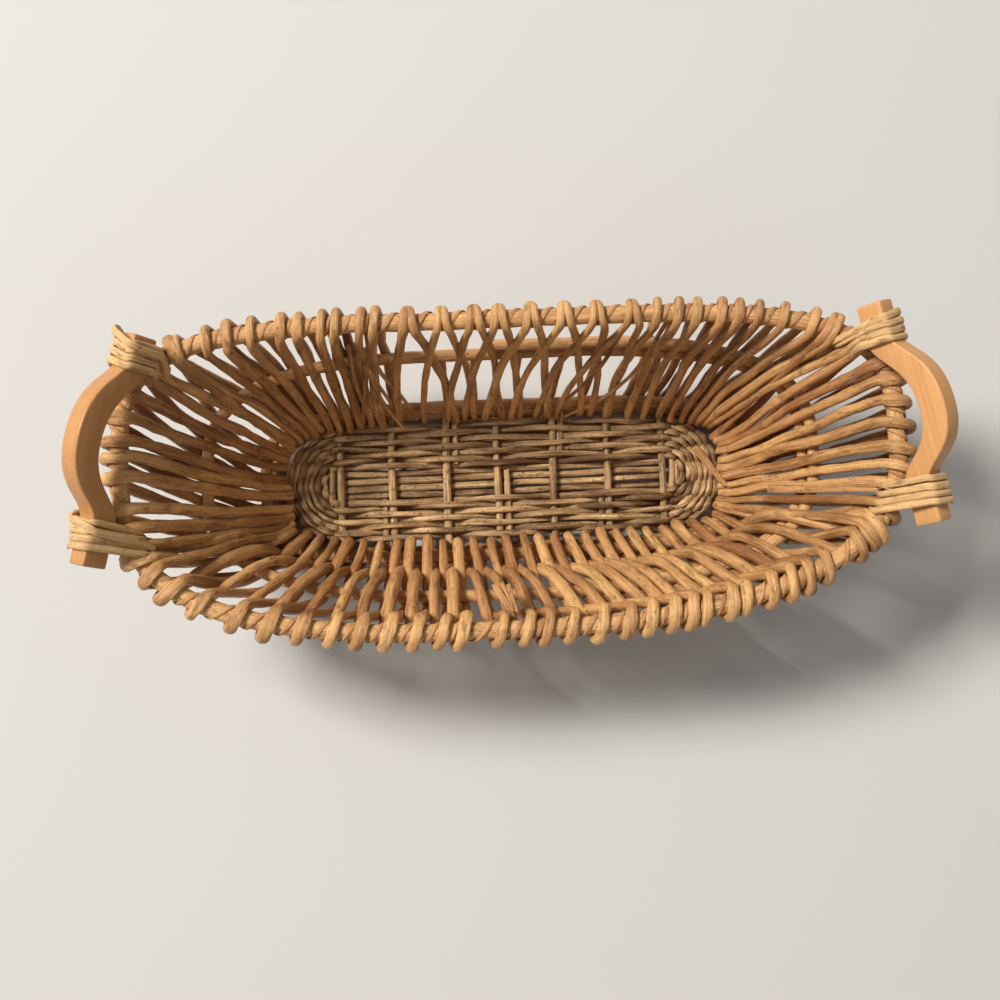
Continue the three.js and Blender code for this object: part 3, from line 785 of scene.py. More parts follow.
OPEN_SHARE = 0.82  # of the usual thickness, in the open lattice
OPEN_TAPER = (0.95, 0.9)  # of a rod's thickness there, low on its back leg and at its end
OPEN_REST = (8, 13)  # the height of a rod's ends there, at least and at most
OPEN_TUCK = (0.5, 3)  # how far its back leg's end reaches in over the base, at least and at most
OPEN_RISE = 5  # over the upper base hoop, where its back leg begins to turn in
OPEN_GAP = 0.4  # between the two legs there, inside the middle hoop
FRONT_TAPER = (0.84, 0.88)  # of a rod's thickness, at its front leg's end and just above
BACK_SWELL = 1.02  # of a rod's thickness, at its back leg's foot
LEG_DEPTH = 0.94  # of a leg's width
FOOT_RISE = 6  # over the upper base hoop, where a front leg begins to turn in
FLOOR_GAP = 1.2  # between the floor and a back leg's end
SWAY, SWAY_LENGTH, SWAY_FADE = 1.1, 90, 40  # size, length, and distance from the ends where it is full
TONE_SPREAD, TONE_LIMITS = 0.25, (0.02, 1.0)
INSIDE, CROSSING, OPEN = range(3)  # how a loop's legs pass the middle hoop


def over_rim(sizes, wrap, weave, lean, thick, flat_width):
    """Points of a rod over the rim, with its facing, half width, half depth and flatness at each."""
    rim, flat_depth = sizes["rim"] / 2, sizes["rod"] / 2 * WRAP_DEPTH
    if weave == OPEN:
        bends = [(angle, shift, HOOK_FLAT) for angle, shift in HOOK]
    else:
        angles = np.linspace(*WRAP_FROM_TO[weave], len(WRAP_FLAT))
        bends = [(a, lean * (a - 90) / 90, f) for a, f in zip(angles, WRAP_FLAT)]
    rows = []
    for angle, shift, flat in bends:
        place = RIM.moved(wrap, shift)
        look = RIM.around(place, angle)
        deep = thick + (flat_depth - thick) * flat
        wide = thick + (flat_width - thick) * flat
        point = RIM.at(place) + look * (rim + deep + WRAP_CLEAR)
        rows.append((point, look, wide, deep, flat * WRAP_SQUARE))
    return rows


def wall_loop(bundle, sizes, side, loop, seed):
    """One rod bent over the rim, with a front leg to the inside of it and a back leg from under it.

    The front leg passes inside the middle hoop and the back leg outside, or the other way about where
    they cross. In the open lattice the rod hooks over the rim, and both legs pass inside the hoop.
    """
    wrap, front_foot, back_foot, weave = loop
    rng = np.random.default_rng(seed)
    share = OPEN_SHARE if weave == OPEN else side.rod_share
    thick = sizes["rod"] / 2 * rng.uniform(*ROD_SPREAD) * share
    wide = sizes["wrap"] * side.wrap_share / 2 * rng.uniform(*WRAP_SPREAD)
    front_foot = UPPER.moved(front_foot, astray(rng, FOOT_ASTRAY))
    back_foot = UPPER.moved(back_foot, astray(rng, FOOT_ASTRAY))
    hoop = sizes["hoop"] / 2
    clear = hoop + thick
    front_top, back_top = RIM.moved(wrap, LEG_APART), RIM.moved(wrap, -side.apart)
    front_middle = front_foot + (front_top - front_foot) * MIDDLE_SHARE
    back_middle = back_foot + (back_top - back_foot) * MIDDLE_SHARE
    rows = []

    def leg(level, place, offset, height, look, size):
        point = level.beside(place, offset + astray(rng, LEG_ASTRAY), height)
        rows.append((point, level.outward(place) * look, size, size * LEG_DEPTH, 0.0))

    front_offsets = {INSIDE: -clear, CROSSING: clear, OPEN: -(hoop + 3 * thick + OPEN_GAP)}
    end_height = rng.uniform(*(OPEN_REST if weave == OPEN else side.rest))
    leg(UPPER, front_foot, -(clear + rng.uniform(*side.tuck)), end_height, -1, thick * FRONT_TAPER[0])
    leg(UPPER, front_foot, -clear, UPPER.height + FOOT_RISE, -1, thick * FRONT_TAPER[1])
    leg(MIDDLE, front_middle, front_offsets[weave], None, -1, thick)
    rows += over_rim(sizes, wrap, weave, side.lean, thick, wide)
    if weave == OPEN:
        leg(MIDDLE, back_middle, -clear, None, -1, thick)
        leg(UPPER, back_foot, -clear, UPPER.height + OPEN_RISE, -1, thick * OPEN_TAPER[0])
        tuck = clear + rng.uniform(*OPEN_TUCK)
        leg(UPPER, back_foot, -tuck, end_height - 1, -1, thick * OPEN_TAPER[1])
    else:
        leg(MIDDLE, back_middle, clear if weave == INSIDE else -clear, None, 1, thick)
        leg(UPPER, back_foot, clear, None, 1, thick * BACK_SWELL)
        leg(LOWER, back_foot, clear, thick + FLOOR_GAP, 1, thick * BACK_SWELL)
    points, facing, width, depth, flat = (np.array(column) for column in zip(*rows))
    path, where = spline_through(points)
    reach = np.arange(len(path)) * 1.0
    sway = [ripple(reach, SWAY_LENGTH, rng), ripple(reach, SWAY_LENGTH, rng), np.zeros_like(reach)]
    calm = spread([1, 1, 1] + [0] * (len(rows) - 6) + [1, 1, 1], where)
    path = path + np.stack(sway, -1) * (SWAY * ends_fade(reach, reach[-1], SWAY_FADE) * calm)[:, None]
    keep = thinned(path)
    width, depth, facing, flat = (spread(values, where[keep]) for values in (width, depth, facing, flat))
    # Pressed-flat wraps get a paler tone, partly from wear and partly as painted light, more on the near
    # side and less on the far side
    tone = np.clip(rng.normal(side.bright, TONE_SPREAD) + side.wear_and_light * flat, *TONE_LIMITS)
    bundle.add(path[keep], width, depth, facing, tone, rng, knots=60.0, rough=0.08, flat=flat)


class WallRodsOperator(PieceOperator):
    """Shared making of the loops of one side of the wall, a few to each piece."""

    side = ""
    pieces = 0
    seed = 0
    lean = 0.0  # along the rim, from a wrap's top to its inner and outer side
    wrap_share = 1.0  # of the usual width of a wrap
    rod_share = 1.0  # of the usual thickness of a rod
    apart = LEG_APART  # along the rim, from a wrap to its back leg
    bright = 0.5  # the rods' usual tone
    wear_and_light = 0.5  # how much paler a rod is where it is pressed flat over the rim: partly wear, partly painted light on the lit wraps
    tuck = (0.5, 4.5)  # how far the front legs' ends reach in over the base, at least and at most
    rest = (13, 22)  # the height of these ends, at least and at most

    def loops(self):
        """Each loop's place on the rim, the places of its two feet, and how it passes the middle hoop."""
        raise NotImplementedError

    def make(self, sizes, colours):
        loops = self.loops()
        for piece, group in enumerate(np.array_split(range(len(loops)), self.pieces), 1):
            bundle = Bundle()
            for k in group:
                wall_loop(bundle, sizes, self, loops[k], self.seed + k)
            node = f"wall_rod_{self.side}_{piece}"
            bundle.build(f"willow_{self.side}_{piece}", wall_finish(colours), [node])


class EndRodsOperator(WallRodsOperator):
    """Shared places of the loops of one end of the wall."""

    feet = ()
    back_shift = 0.0  # along the base, from a loop's front foot to its back one
    tuck, rest = (5.0, 9.0), (19.5, 23.0)

    def loops(self):
        rows = []
        for y, foot_y in zip(WRAPS[self.side], self.feet):
            foot = UPPER.place_on(self.side, foot_y)
            rows.append((RIM.place_on(self.side, y), foot, UPPER.moved(foot, self.back_shift), INSIDE))
        return rows


class BASKET_OT_wall_far(WallRodsOperator, bpy.types.Operator):
    """Wall rods of the far side, with an open lattice in its middle"""

    bl_idname = "basket.wall_far"
    bl_label = "Far wall rods"
    side, pieces, seed = "far", 9, 1000
    lean, wrap_share, rod_share, apart = 1.4, 0.74, 1.0, 6.0
    # the far side's wraps are made only a little paler, which leaves painted shade on the far rim
    bright, wear_and_light = 0.53, 0.26

    def loops(self):
        rows = []
        for k, (x, front, back) in enumerate(zip(FAR_WRAPS, FAR_FRONT_FEET, FAR_BACK_FEET)):
            weave = OPEN if k in FAR_OPEN else INSIDE
            rows.append((RIM.far_place(x), UPPER.far_place(front), UPPER.far_place(back), weave))
        return rows


class BASKET_OT_wall_left(EndRodsOperator, bpy.types.Operator):
    """Wall rods of the left end"""

    bl_idname = "basket.wall_left"
    bl_label = "Left wall rods"
    side, pieces, seed = "left", 2, 2000
    feet, back_shift = LEFT_FEET, 20.0
    lean, wrap_share, rod_share, apart = -0.8, 1.04, 1.06, -6.0
    bright, wear_and_light = 0.55, 0.3


class BASKET_OT_wall_near(WallRodsOperator, bpy.types.Operator):
    """Wall rods of the near side"""

    bl_idname = "basket.wall_near"
    bl_label = "Near wall rods"
    side, pieces, seed = "near", 10, 3000
    lean, wrap_share, rod_share = 3.0, 0.94, 1.24
    # the near side's wraps are made much paler, as painted light on the lit near rim
    bright, wear_and_light = 0.53, 0.66
    foot_apart = 3.0  # along the base, from a loop's middle to each of its feet

    def loops(self):
        rows = []
        feet = np.linspace(*(UPPER.near_place(x) for x in NEAR_FEET), len(NEAR_WRAPS))
        for x, foot in zip(NEAR_WRAPS, feet):
            front, back = UPPER.moved(foot, self.foot_apart), UPPER.moved(foot, -self.foot_apart)
            rows.append((RIM.near_place(x), front, back, CROSSING))
        return rows


class BASKET_OT_wall_right(EndRodsOperator, bpy.types.Operator):
    """Wall rods of the right end"""

    bl_idname = "basket.wall_right"
    bl_label = "Right wall rods"
    side, pieces, seed = "right", 2, 4000
    feet, back_shift = RIGHT_FEET, -3.4
    lean, wrap_share, rod_share, apart = 2.4, 0.98, 1.04, 7.0
    bright, wear_and_light = 0.42, 0.2


# Hoops
HOOP_STEPS = 60  # to a quarter
# Painted light and shade round the rim: its tone is paler on the near side as painted light, and darker on
# the far side as painted shade
RIM_LIGHT_AND_SHADE_TONES = 0.88 - 0.14 * np.sin(np.linspace(0, 2 * math.pi, 4 * HOOP_STEPS, endpoint=False))
WANDER_OUT, WANDER_UP = 150, 170  # lengths of a hoop's slow waves
WANDER_FADE = 60  # distance from a hoop's join where they are full
MIDDLE_START, MIDDLE_TURNS = -0.35, 5.4  # in quarters
MIDDLE_SLIM = 0.88  # of the hoops' usual diameter
LAP_FROM, LAP_OVER = 3.7, 0.5  # where the middle hoop begins to rise past its own start, and over how much
LAP_RISE, LAP_OUT = 0.95, 0.45  # of the hoops' diameter, and of that rise


def hoop_ring(bundle, level, thickness, tone, seed, wander, closed=True, start=0.0, turns=4.0, lift=None):
    """A rod bent round along a hoop's line, or past its own start where it laps."""
    rng = np.random.default_rng(seed)
    count = int(turns * HOOP_STEPS)
    places = start + np.arange(count + (0 if closed else 1)) * turns / count
    path = level.at(places)
    out = level.outward(places)
    reach = running(gaps(path))
    fade = ends_fade(reach, reach[-1], WANDER_FADE) if closed else np.ones_like(reach)
    path = path + (fade * wander * ripple(reach, WANDER_OUT, rng))[:, None] * out
    if closed:
        path[:, 2] += fade * wander * ripple(reach, WANDER_UP, rng)
    if lift is not None:
        path = path + lift(places - start, out)
    half = np.full(len(path), thickness / 2)
    bundle.add(path, half, half, steady(path, UP), tone, rng, 12, closed, knots=130.0, rough=0.035)


class BASKET_OT_rim(PieceOperator, bpy.types.Operator):
    """The stout rim hoop, with painted light that makes it palest on the near side and painted shade that
    darkens the far side
    """

    bl_idname = "basket.rim"
    bl_label = "Rim hoop"

    def make(self, sizes, colours):
        bundle = Bundle()
        # the rim's tones carry painted light on the near side and painted shade on the far side
        hoop_ring(bundle, RIM, sizes["rim"], RIM_LIGHT_AND_SHADE_TONES, 11, 0.3)
        bundle.build("willow_rim", wall_finish(colours), ["rim_hoop"])


class BASKET_OT_middle_hoop(PieceOperator, bpy.types.Operator):
    """The middle hoop, lapped over itself along the right end and the far side"""

    bl_idname = "basket.middle_hoop"
    bl_label = "Middle hoop"

    def make(self, sizes, colours):
        rise = sizes["hoop"] * LAP_RISE

        def lapped(run, out):
            share = np.clip((run - LAP_FROM) / LAP_OVER, 0, 1)
            share = (share * share * (3 - 2 * share))[:, None]
            return share * (out * rise * LAP_OUT + UP * rise)

        bundle = Bundle()
        hoop_ring(
            bundle, MIDDLE, sizes["hoop"] * MIDDLE_SLIM, 0.85, 12, 0.5,
            closed=False, start=MIDDLE_START, turns=MIDDLE_TURNS, lift=lapped,
        )
        bundle.build("willow_middle_hoop", hoop_finish(colours), ["middle_hoop"])


class BASKET_OT_base_hoops(PieceOperator, bpy.types.Operator):
    """The two hoops that hold the base's cross sticks between them"""

    bl_idname = "basket.base_hoops"
    bl_label = "Base hoops"

    def make(self, sizes, colours):
        hoops = {"upper_base_hoop": (UPPER, 13, 1.0), "lower_base_hoop": (LOWER, 14, 2.0)}
        for node, (level, seed, slimmer) in hoops.items():
            bundle = Bundle()
            hoop_ring(bundle, level, sizes["hoop"] - slimmer, 0.6, seed, 0.3)
            bundle.build(f"willow_{node}", hoop_finish(colours), [node])


# Base
STICK_HEIGHT = 12.9
STICK_REACH = 50
STICK_WAVE = 90  # length of the waves in a stick's bow
STICK_TAPER, STICK_SPREAD = 0.12, (0.92, 1.06)  # of the usual thickness
STICK_TONE, STICK_TONE_LIMITS = (0.6, 0.15), (0.1, 0.95)
END_STICK = 100.0  # cross sticks further out have a short stick beyond them
END_STICK_REACH = 8
SECOND_SHARE, END_SHARE, LONG_SHARE, UNDER_SHARE = 0.86, 0.6, 0.9, 0.66  # of a cross stick's thickness
SECOND_GAP = 0.6  # beyond a stick's thickness, to the second stick beside it
END_STEP = 0.76  # of a stick's thickness, from the second stick to the short one
LONG_STICK_HEIGHT = 7.2
LONG_STICK_PITCH = 5.6
LONG_STICK_ENDS = (-119, 120)
UNDER_ROWS = (16.0, 25.0, 34.0)  # across the length, rods under the weave
UNDER_APART = 4.2  # between two rods of such a row
UNDER_HEIGHT = 3.1
WEAVE_STRAIGHT = 117.5
WEAVE_FIRST = 13.2
WEAVE_PITCH = 4.35
WEAVE_OUTER = 40.0
WEAVE_RISE = (4.2, 4.9)  # of a weaver over or under a stick, at least and at most
WEAVE_END_RISE, WEAVE_END_STEP, WEAVE_END_CLEAR = 2.6, 7.5, 1.5
WEAVE_BULGE, WEAVE_BULGE_AT, WEAVE_BULGE_REACH = 3.2, 12, 55  # of the far side's outer rows
WEAVE_ASTRAY = (1.5, 0.8)  # at a stick, along and across the length
WEAVE_BETWEEN_ASTRAY = (0.3, 0.5)  # between two sticks, across the length and up
WEAVE_END_ASTRAY = 0.4
WEAVE_PIECES = ((0,), (1,), (2,), (3,), (4,), (5, 6))  # the rows in each piece
WEAVER_SWELL, WEAVER_WAVE, WEAVER_FADE = 0.17, 120, 30  # a slow swelling, its length, its fade at a join
WEAVER_LENGTH, WEAVER_MOST = (50, 170), 13  # least and most length of a weaver, and the most in a row
WEAVER_TONE, WEAVER_TONE_LIMITS = (0.56, 0.24), (0.05, 1.0)


def base_stick(bundle, start, end, thickness, seed, bow=0.6):
    """A straight stick with a slight bow and a taper."""
    rng = np.random.default_rng(seed)
    start, end = np.array(start, float), np.array(end, float)
    share = np.linspace(0, 1, 24)[:, None]
    reach = share[:, 0] * np.linalg.norm(end - start)
    across = unit(np.cross(end - start, UP))
    path = start + (end - start) * share + across * bow * ripple(reach, STICK_WAVE, rng)[:, None]
    half = thickness / 2 * (1 - STICK_TAPER * share[:, 0]) * rng.uniform(*STICK_SPREAD)
    tone = np.clip(rng.normal(*STICK_TONE), *STICK_TONE_LIMITS)
    bundle.add(path, half, half, steady(path, UP), tone, rng, knots=55.0, rough=0.05)


class BASKET_OT_base_sticks(PieceOperator, bpy.types.Operator):
    """Long sticks along the middle of the base, and the cross sticks over them"""

    bl_idname = "basket.base_sticks"
    bl_label = "Base sticks"

    def make(self, sizes, colours):
        finish = stick_finish(colours)
        for k, stick in enumerate(CROSS_STICKS):
            bundle = Bundle()
            self.across(bundle, stick, sizes["stick"], k)
            bundle.build(f"base_stick_across_{k + 1}", finish, [f"base_cross_stick_{k + 1}"])
        for k in range(4):
            bundle = Bundle()
            self.along(bundle, k - 1.5, sizes["stick"], k)
            bundle.build(f"base_stick_along_{k + 1}", finish, [f"base_long_stick_{k + 1}"])

    def across(self, bundle, stick, thick, k):
        """A cross stick, a second one beside part of it, and a short one beyond it at the base's ends."""
        x, gap, low, high = stick
        ends = (x, -STICK_REACH, STICK_HEIGHT), (x + 0.5, STICK_REACH, STICK_HEIGHT)
        base_stick(bundle, *ends, thick, 100 + k)
        beside = x + math.copysign(thick + SECOND_GAP, gap)
        ends = (beside, low, STICK_HEIGHT), (beside + 1, high, STICK_HEIGHT)
        base_stick(bundle, *ends, thick * SECOND_SHARE, 120 + k)
        if abs(x) > END_STICK:
            filler = beside + math.copysign(thick * END_STEP, x)
            ends = (filler, -END_STICK_REACH, STICK_HEIGHT), (filler, END_STICK_REACH, STICK_HEIGHT)
            base_stick(bundle, *ends, thick * END_SHARE, 130 + k)

    def along(self, bundle, order, thick, k):
        """A long stick, and the rods under the weave on its side of the middle."""
        y = order * LONG_STICK_PITCH
        first, last = LONG_STICK_ENDS
        ends = (first, y, LONG_STICK_HEIGHT), (last, y + 0.4, LONG_STICK_HEIGHT)
        base_stick(bundle, *ends, thick * LONG_SHARE, 140 + k, 0.5)
        for row in UNDER_ROWS:
            y = math.copysign(row, order) + (UNDER_APART if k % 2 else 0)
            reach = WEAVE_STRAIGHT + math.sqrt(WEAVE_OUTER**2 - y * y)
            ends = (-reach, y, UNDER_HEIGHT), (reach, y, UNDER_HEIGHT)
            base_stick(bundle, *ends, thick * UNDER_SHARE, 150 + int(4 * row) + k, 0.5)


def weaver_points(row, rng):
    """Points of one row of the base weave, over one cross stick and under the next, and round both ends."""
    half_width = WEAVE_FIRST + row * WEAVE_PITCH
    sticks = np.array([s[0] for s in CROSS_STICKS], float)
    points = []
    sign = 1 if row % 2 else -1
    turns = max(3, int(round(math.pi * half_width / WEAVE_END_STEP)))
    turns += turns % 2 == 0
    for side in (1, -1):
        order = sticks[::-1] if side > 0 else sticks
        for k, x in enumerate(order):
            height = STICK_HEIGHT + sign * rng.uniform(*WEAVE_RISE)
            bulge = 0
            if side > 0:
                nearby = math.exp(-(((x - WEAVE_BULGE_AT) / WEAVE_BULGE_REACH) ** 2))
                bulge = WEAVE_BULGE * nearby * max(0, row - 3) / 3
            y = side * (half_width + astray(rng, WEAVE_ASTRAY[1]) + bulge)
            points.append((x + astray(rng, WEAVE_ASTRAY[0]), y, height))
            if k < len(order) - 1:
                between = (x + order[k + 1]) / 2
                beside = y + side * astray(rng, WEAVE_BETWEEN_ASTRAY[0])
                points.append((between, beside, STICK_HEIGHT + astray(rng, WEAVE_BETWEEN_ASTRAY[1])))
            sign = -sign
        for k in range(1, turns + 1):
            angle = math.pi * k / (turns + 1)
            bow = (half_width + astray(rng, WEAVE_END_ASTRAY)) * math.sin(angle)
            x = -side * (WEAVE_STRAIGHT + WEAVE_END_CLEAR + bow)
            y = side * half_width * math.cos(angle)
            points.append((x, y, STICK_HEIGHT + sign * WEAVE_END_RISE))
            sign = -sign
    return np.array(points)


def weaver_row(bundle, row, thickness, seed):
    """One row of the base weave, of several weavers that follow on each other."""
    rng = np.random.default_rng(seed)
    points = weaver_points(row, rng)
    path, where = spline_through(np.concatenate([points[-3:], points, points[:4]]))
    path = path[(where >= 3) & (where < len(points) + 3)]
    path = path[thinned(path, 10, 5)]
    reach = running(gaps(path))
    swell = WEAVER_SWELL * ripple(reach, WEAVER_WAVE, rng) * ends_fade(reach, reach[-1], WEAVER_FADE)
    half = thickness / 2 * (1 + swell)
    joins = np.cumsum(rng.uniform(*WEAVER_LENGTH, WEAVER_MOST - 1))
    tones = np.clip(rng.normal(*WEAVER_TONE, WEAVER_MOST), *WEAVER_TONE_LIMITS)
    tone = tones[np.searchsorted(joins, reach)]
    bundle.add(path, half, half * 0.94, steady(path, UP), tone, rng, 9, True, knots=60.0, rough=0.05)


class BASKET_OT_base_weave(PieceOperator, bpy.types.Operator):
    """Rows of weavers round the middle of the base"""

    bl_idname = "basket.base_weave"
    bl_label = "Base weave"

    def make(self, sizes, colours):
        for k, rows in enumerate(WEAVE_PIECES, 1):
            bundle = Bundle()
            for row in rows:
                weaver_row(bundle, row, sizes["weaver"], 200 + row)
            bundle.build(f"base_weave_{k}", stick_finish(colours), [f"base_weaver_{k}"])


# Handles, by side: -1 for the left one and 1 for the right one
HANDLE_ENDS = {-1: (-76.0, 70.5), 1: (-71.5, 73.5)}  # towards the near and the far side
HANDLE_BENDS = {-1: (46.0, 53.0), 1: (43.0, 50.0)}  # where the bow begins, towards the near and the far end
HANDLE_BULGE = 25.0
BOW_HOLDS = ((-1, 0.66, 0.6), (1, 0.74, 0.68))  # of a bend, where the two edges' curves hold
BOW_SOFT = 0.14  # of the bulge, at the first of the two holds
BOW_STEPS, STRAIGHT_STEPS = 24, 7
HANDLE_TILT = math.radians(36)
HANDLE_TURN = {-1: math.radians(14.5), 1: math.radians(12.5)}
HANDLE_MIDDLE = {-1: (248.8, 22.5, 164.4), 1: (249.4, 22.5, 164.4)}
BOARD_TONES = {-1: 0.1, 1: 0.5}
BOARD_ROUND = 1.3  # radius of the board's edges
BOARD_CORNER = (1, 20, 45, 70, 89)  # degrees round such an edge
BOARD_END = ((0.8, 0.0), (0.35, 0.25), (0.0, 0.9))  # inset and step along, at a sawn end's worn edge
BOARD_GRAIN_APART = 900  # between the two handles' places in the grain


class HandleFrame:
    """A handle's own directions: along it, outwards, up its leaning board, and through the board."""

    def __init__(self, side):
        self.side = side
        turn = HANDLE_TURN[side]
        self.along = np.array([-side * math.sin(turn), math.cos(turn), 0.0])
        self.out = np.array([side * self.along[1], -side * self.along[0], 0.0])
        self.up = self.out * math.sin(HANDLE_TILT) + UP * math.cos(HANDLE_TILT)
        self.through = np.cross(self.along, self.up)
        self.middle = np.array(HANDLE_MIDDLE[side]) * [side, 1, 1]


def bezier(points, t):
    a, b, c, d = (np.array(p, float) for p in points)
    t = np.asarray(t)[:, None]
    return (1 - t) ** 3 * a + 3 * (1 - t) ** 2 * t * b + 3 * (1 - t) * t**2 * c + t**3 * d


def handle_edges(width, ends, bends):
    """The board's lower and upper edge, from its near end to its far end, in pairs of points."""
    bulge, count = HANDLE_BULGE, STRAIGHT_STEPS
    t = np.linspace(0, 1, BOW_STEPS + 1)
    edges = []
    for sense, first, second in BOW_HOLDS:
        side = sense * width / 2
        curves = []
        for bend in bends:
            hold = ((-first * bend, BOW_SOFT * bulge + side), (-second * bend, bulge + side))
            curves.append(bezier([(-bend, side), *hold, (0, bulge + side)], t))
        near = np.stack([np.linspace(ends[0], -bends[0], count + 1)[:-1], np.full(count, side)], -1)
        far = np.stack([np.linspace(bends[1], ends[1], count + 1)[1:], np.full(count, side)], -1)
        edges.append(np.concatenate([near, curves[0], curves[1][-2::-1] * [-1, 1], far]))
    return edges


def board_section():
    """Which corner of the board each point of its section belongs to, and its way round that corner."""
    corner = [(math.cos(a), math.sin(a)) for a in np.radians(BOARD_CORNER)]
    section = []
    for sx, sy in ((1, 1), (-1, 1), (-1, -1), (1, -1)):
        arc = corner if sx * sy > 0 else corner[::-1]
        section += [(sx, sy, c * sx, s * sy) for c, s in arc]
    return section


class BASKET_OT_handles(PieceOperator, bpy.types.Operator):
    """The two bow handles, sawn from board"""

    bl_idname = "basket.handles"
    bl_label = "Handles"

    def make(self, sizes, colours):
        for name, side in (("left", -1), ("right", 1)):
            self.board(name, side, sizes, kept("sawn_board", board_finish, colours))

    def board(self, name, side, sizes, finish):
        spot = HandleFrame(side)
        low, high = handle_edges(sizes["board_width"], HANDLE_ENDS[side], HANDLE_BENDS[side])
        last, section = len(low) - 1, board_section()
        count, sides = last - 1 + 2 * len(BOARD_END), len(section)
        rows = [(0, inset, step) for inset, step in BOARD_END]
        rows += [(k, 0.0, 0.0) for k in range(1, last)]
        rows += [(last, inset, -step) for inset, step in BOARD_END[::-1]]
        local = []
        for k, inset, step in rows:
            middle, axis = (low[k] + high[k]) / 2, high[k] - low[k]
            half = np.linalg.norm(axis) / 2
            for sx, sy, cx, cy in section:
                a = sx * (half - BOARD_ROUND - inset) + cx * BOARD_ROUND
                b = sy * (sizes["board_depth"] / 2 - BOARD_ROUND - inset) + cy * BOARD_ROUND
                flat = middle + axis / (2 * half) * a
                local.append((flat[0] + step, flat[1], b))
        local = np.array(local)
        points = spot.middle + local @ np.stack([spot.along, spot.up, spot.through])
        faces = ring_faces(count - 1, count, sides).tolist()
        smooth = [True] * len(faces) + [False, False]
        faces.append(list(range(sides))[::-1])
        faces.append(list(range((count - 1) * sides, count * sides)))
        mesh = new_mesh(f"board_{name}", points, faces, smooth)
        tone = np.full(len(points), BOARD_TONES[side])
        mark(mesh, local + [BOARD_GRAIN_APART * side, 0, 0], tone=tone)
        add_piece(mesh, finish, [f"handle_{name}"])


# Lashings
class Lashing(NamedTuple):
    """How one end of a handle is tied to the rim."""

    side: int  # of the handle
    middle: float  # along the handle
    rim_middle: float  # along the handle too, where the strands meet the rim
    rim_share: float  # of the strands' usual pitch, at the rim
    turns: int
    cross: float  # how far the last strand crosses back over the others
    seed: int


LASHINGS = {
    "left_far": Lashing(-1, 62.0, 49.5, 0.65, 4, 0.6, 501),
    "left_near": Lashing(-1, -55.0, -55.0, 0.8, 4, 0.9, 502),
    "right_far": Lashing(1, 58.0, 53.0, 0.6, 4, 0.0, 503),
    "right_near": Lashing(1, -50.0, -48.0, 0.95, 4, 0.0, 504),
}
CANE_FLAT, CANE_TONE = 0.7, 0.95  # depth as a share of the width, and tone
STRAND_STEPS = 60  # to a turn
STRAND_SLANT = 0.4  # the most of a strand's slant that lies on the handle
STRAND_START = 0.6  # how far before the outermost side of the handle a strand starts
STRAND_PITCH = 1.16  # of the cane's width
STRAND_DEPTH = 0.37  # half the cane's depth, as a share of its width
STRAND_CLEAR = 0.1  # between the cane and what it is wound round
STRAND_CROWD = (0.88, 1.12)  # of the usual pitch, at least and at most
STRAND_SLACK, STRAND_ASTRAY = 1.1, 1.6  # the most off the handle, and to either side along the rim
CROSS_TURN, CROSS_SLACK = 0.6, 0.4  # of the strand that crosses back over the others
CROSS_LIFT = 2.1  # of half the cane's depth, which that strand lies higher
CROSS_HURRY = 4  # how fast that strand climbs over the others
RIM_ROOM = (1.2, 0.8)  # between the rim and the strands, across and up
RIM_SLANT = 0.45  # the least share of the rim's outward direction that counts across a handle


def rim_beside(spot, offset):
    """The rim's place next to a point along a handle."""
    target = spot.along @ spot.middle + offset
    end = 0 if spot.side > 0 else 2
    places = np.linspace(end - 0.95, end + 0.95, 1200)
    reach = RIM.at(places) @ spot.along
    order = np.argsort(reach)
    return float(np.interp(target, reach[order], places[order]))


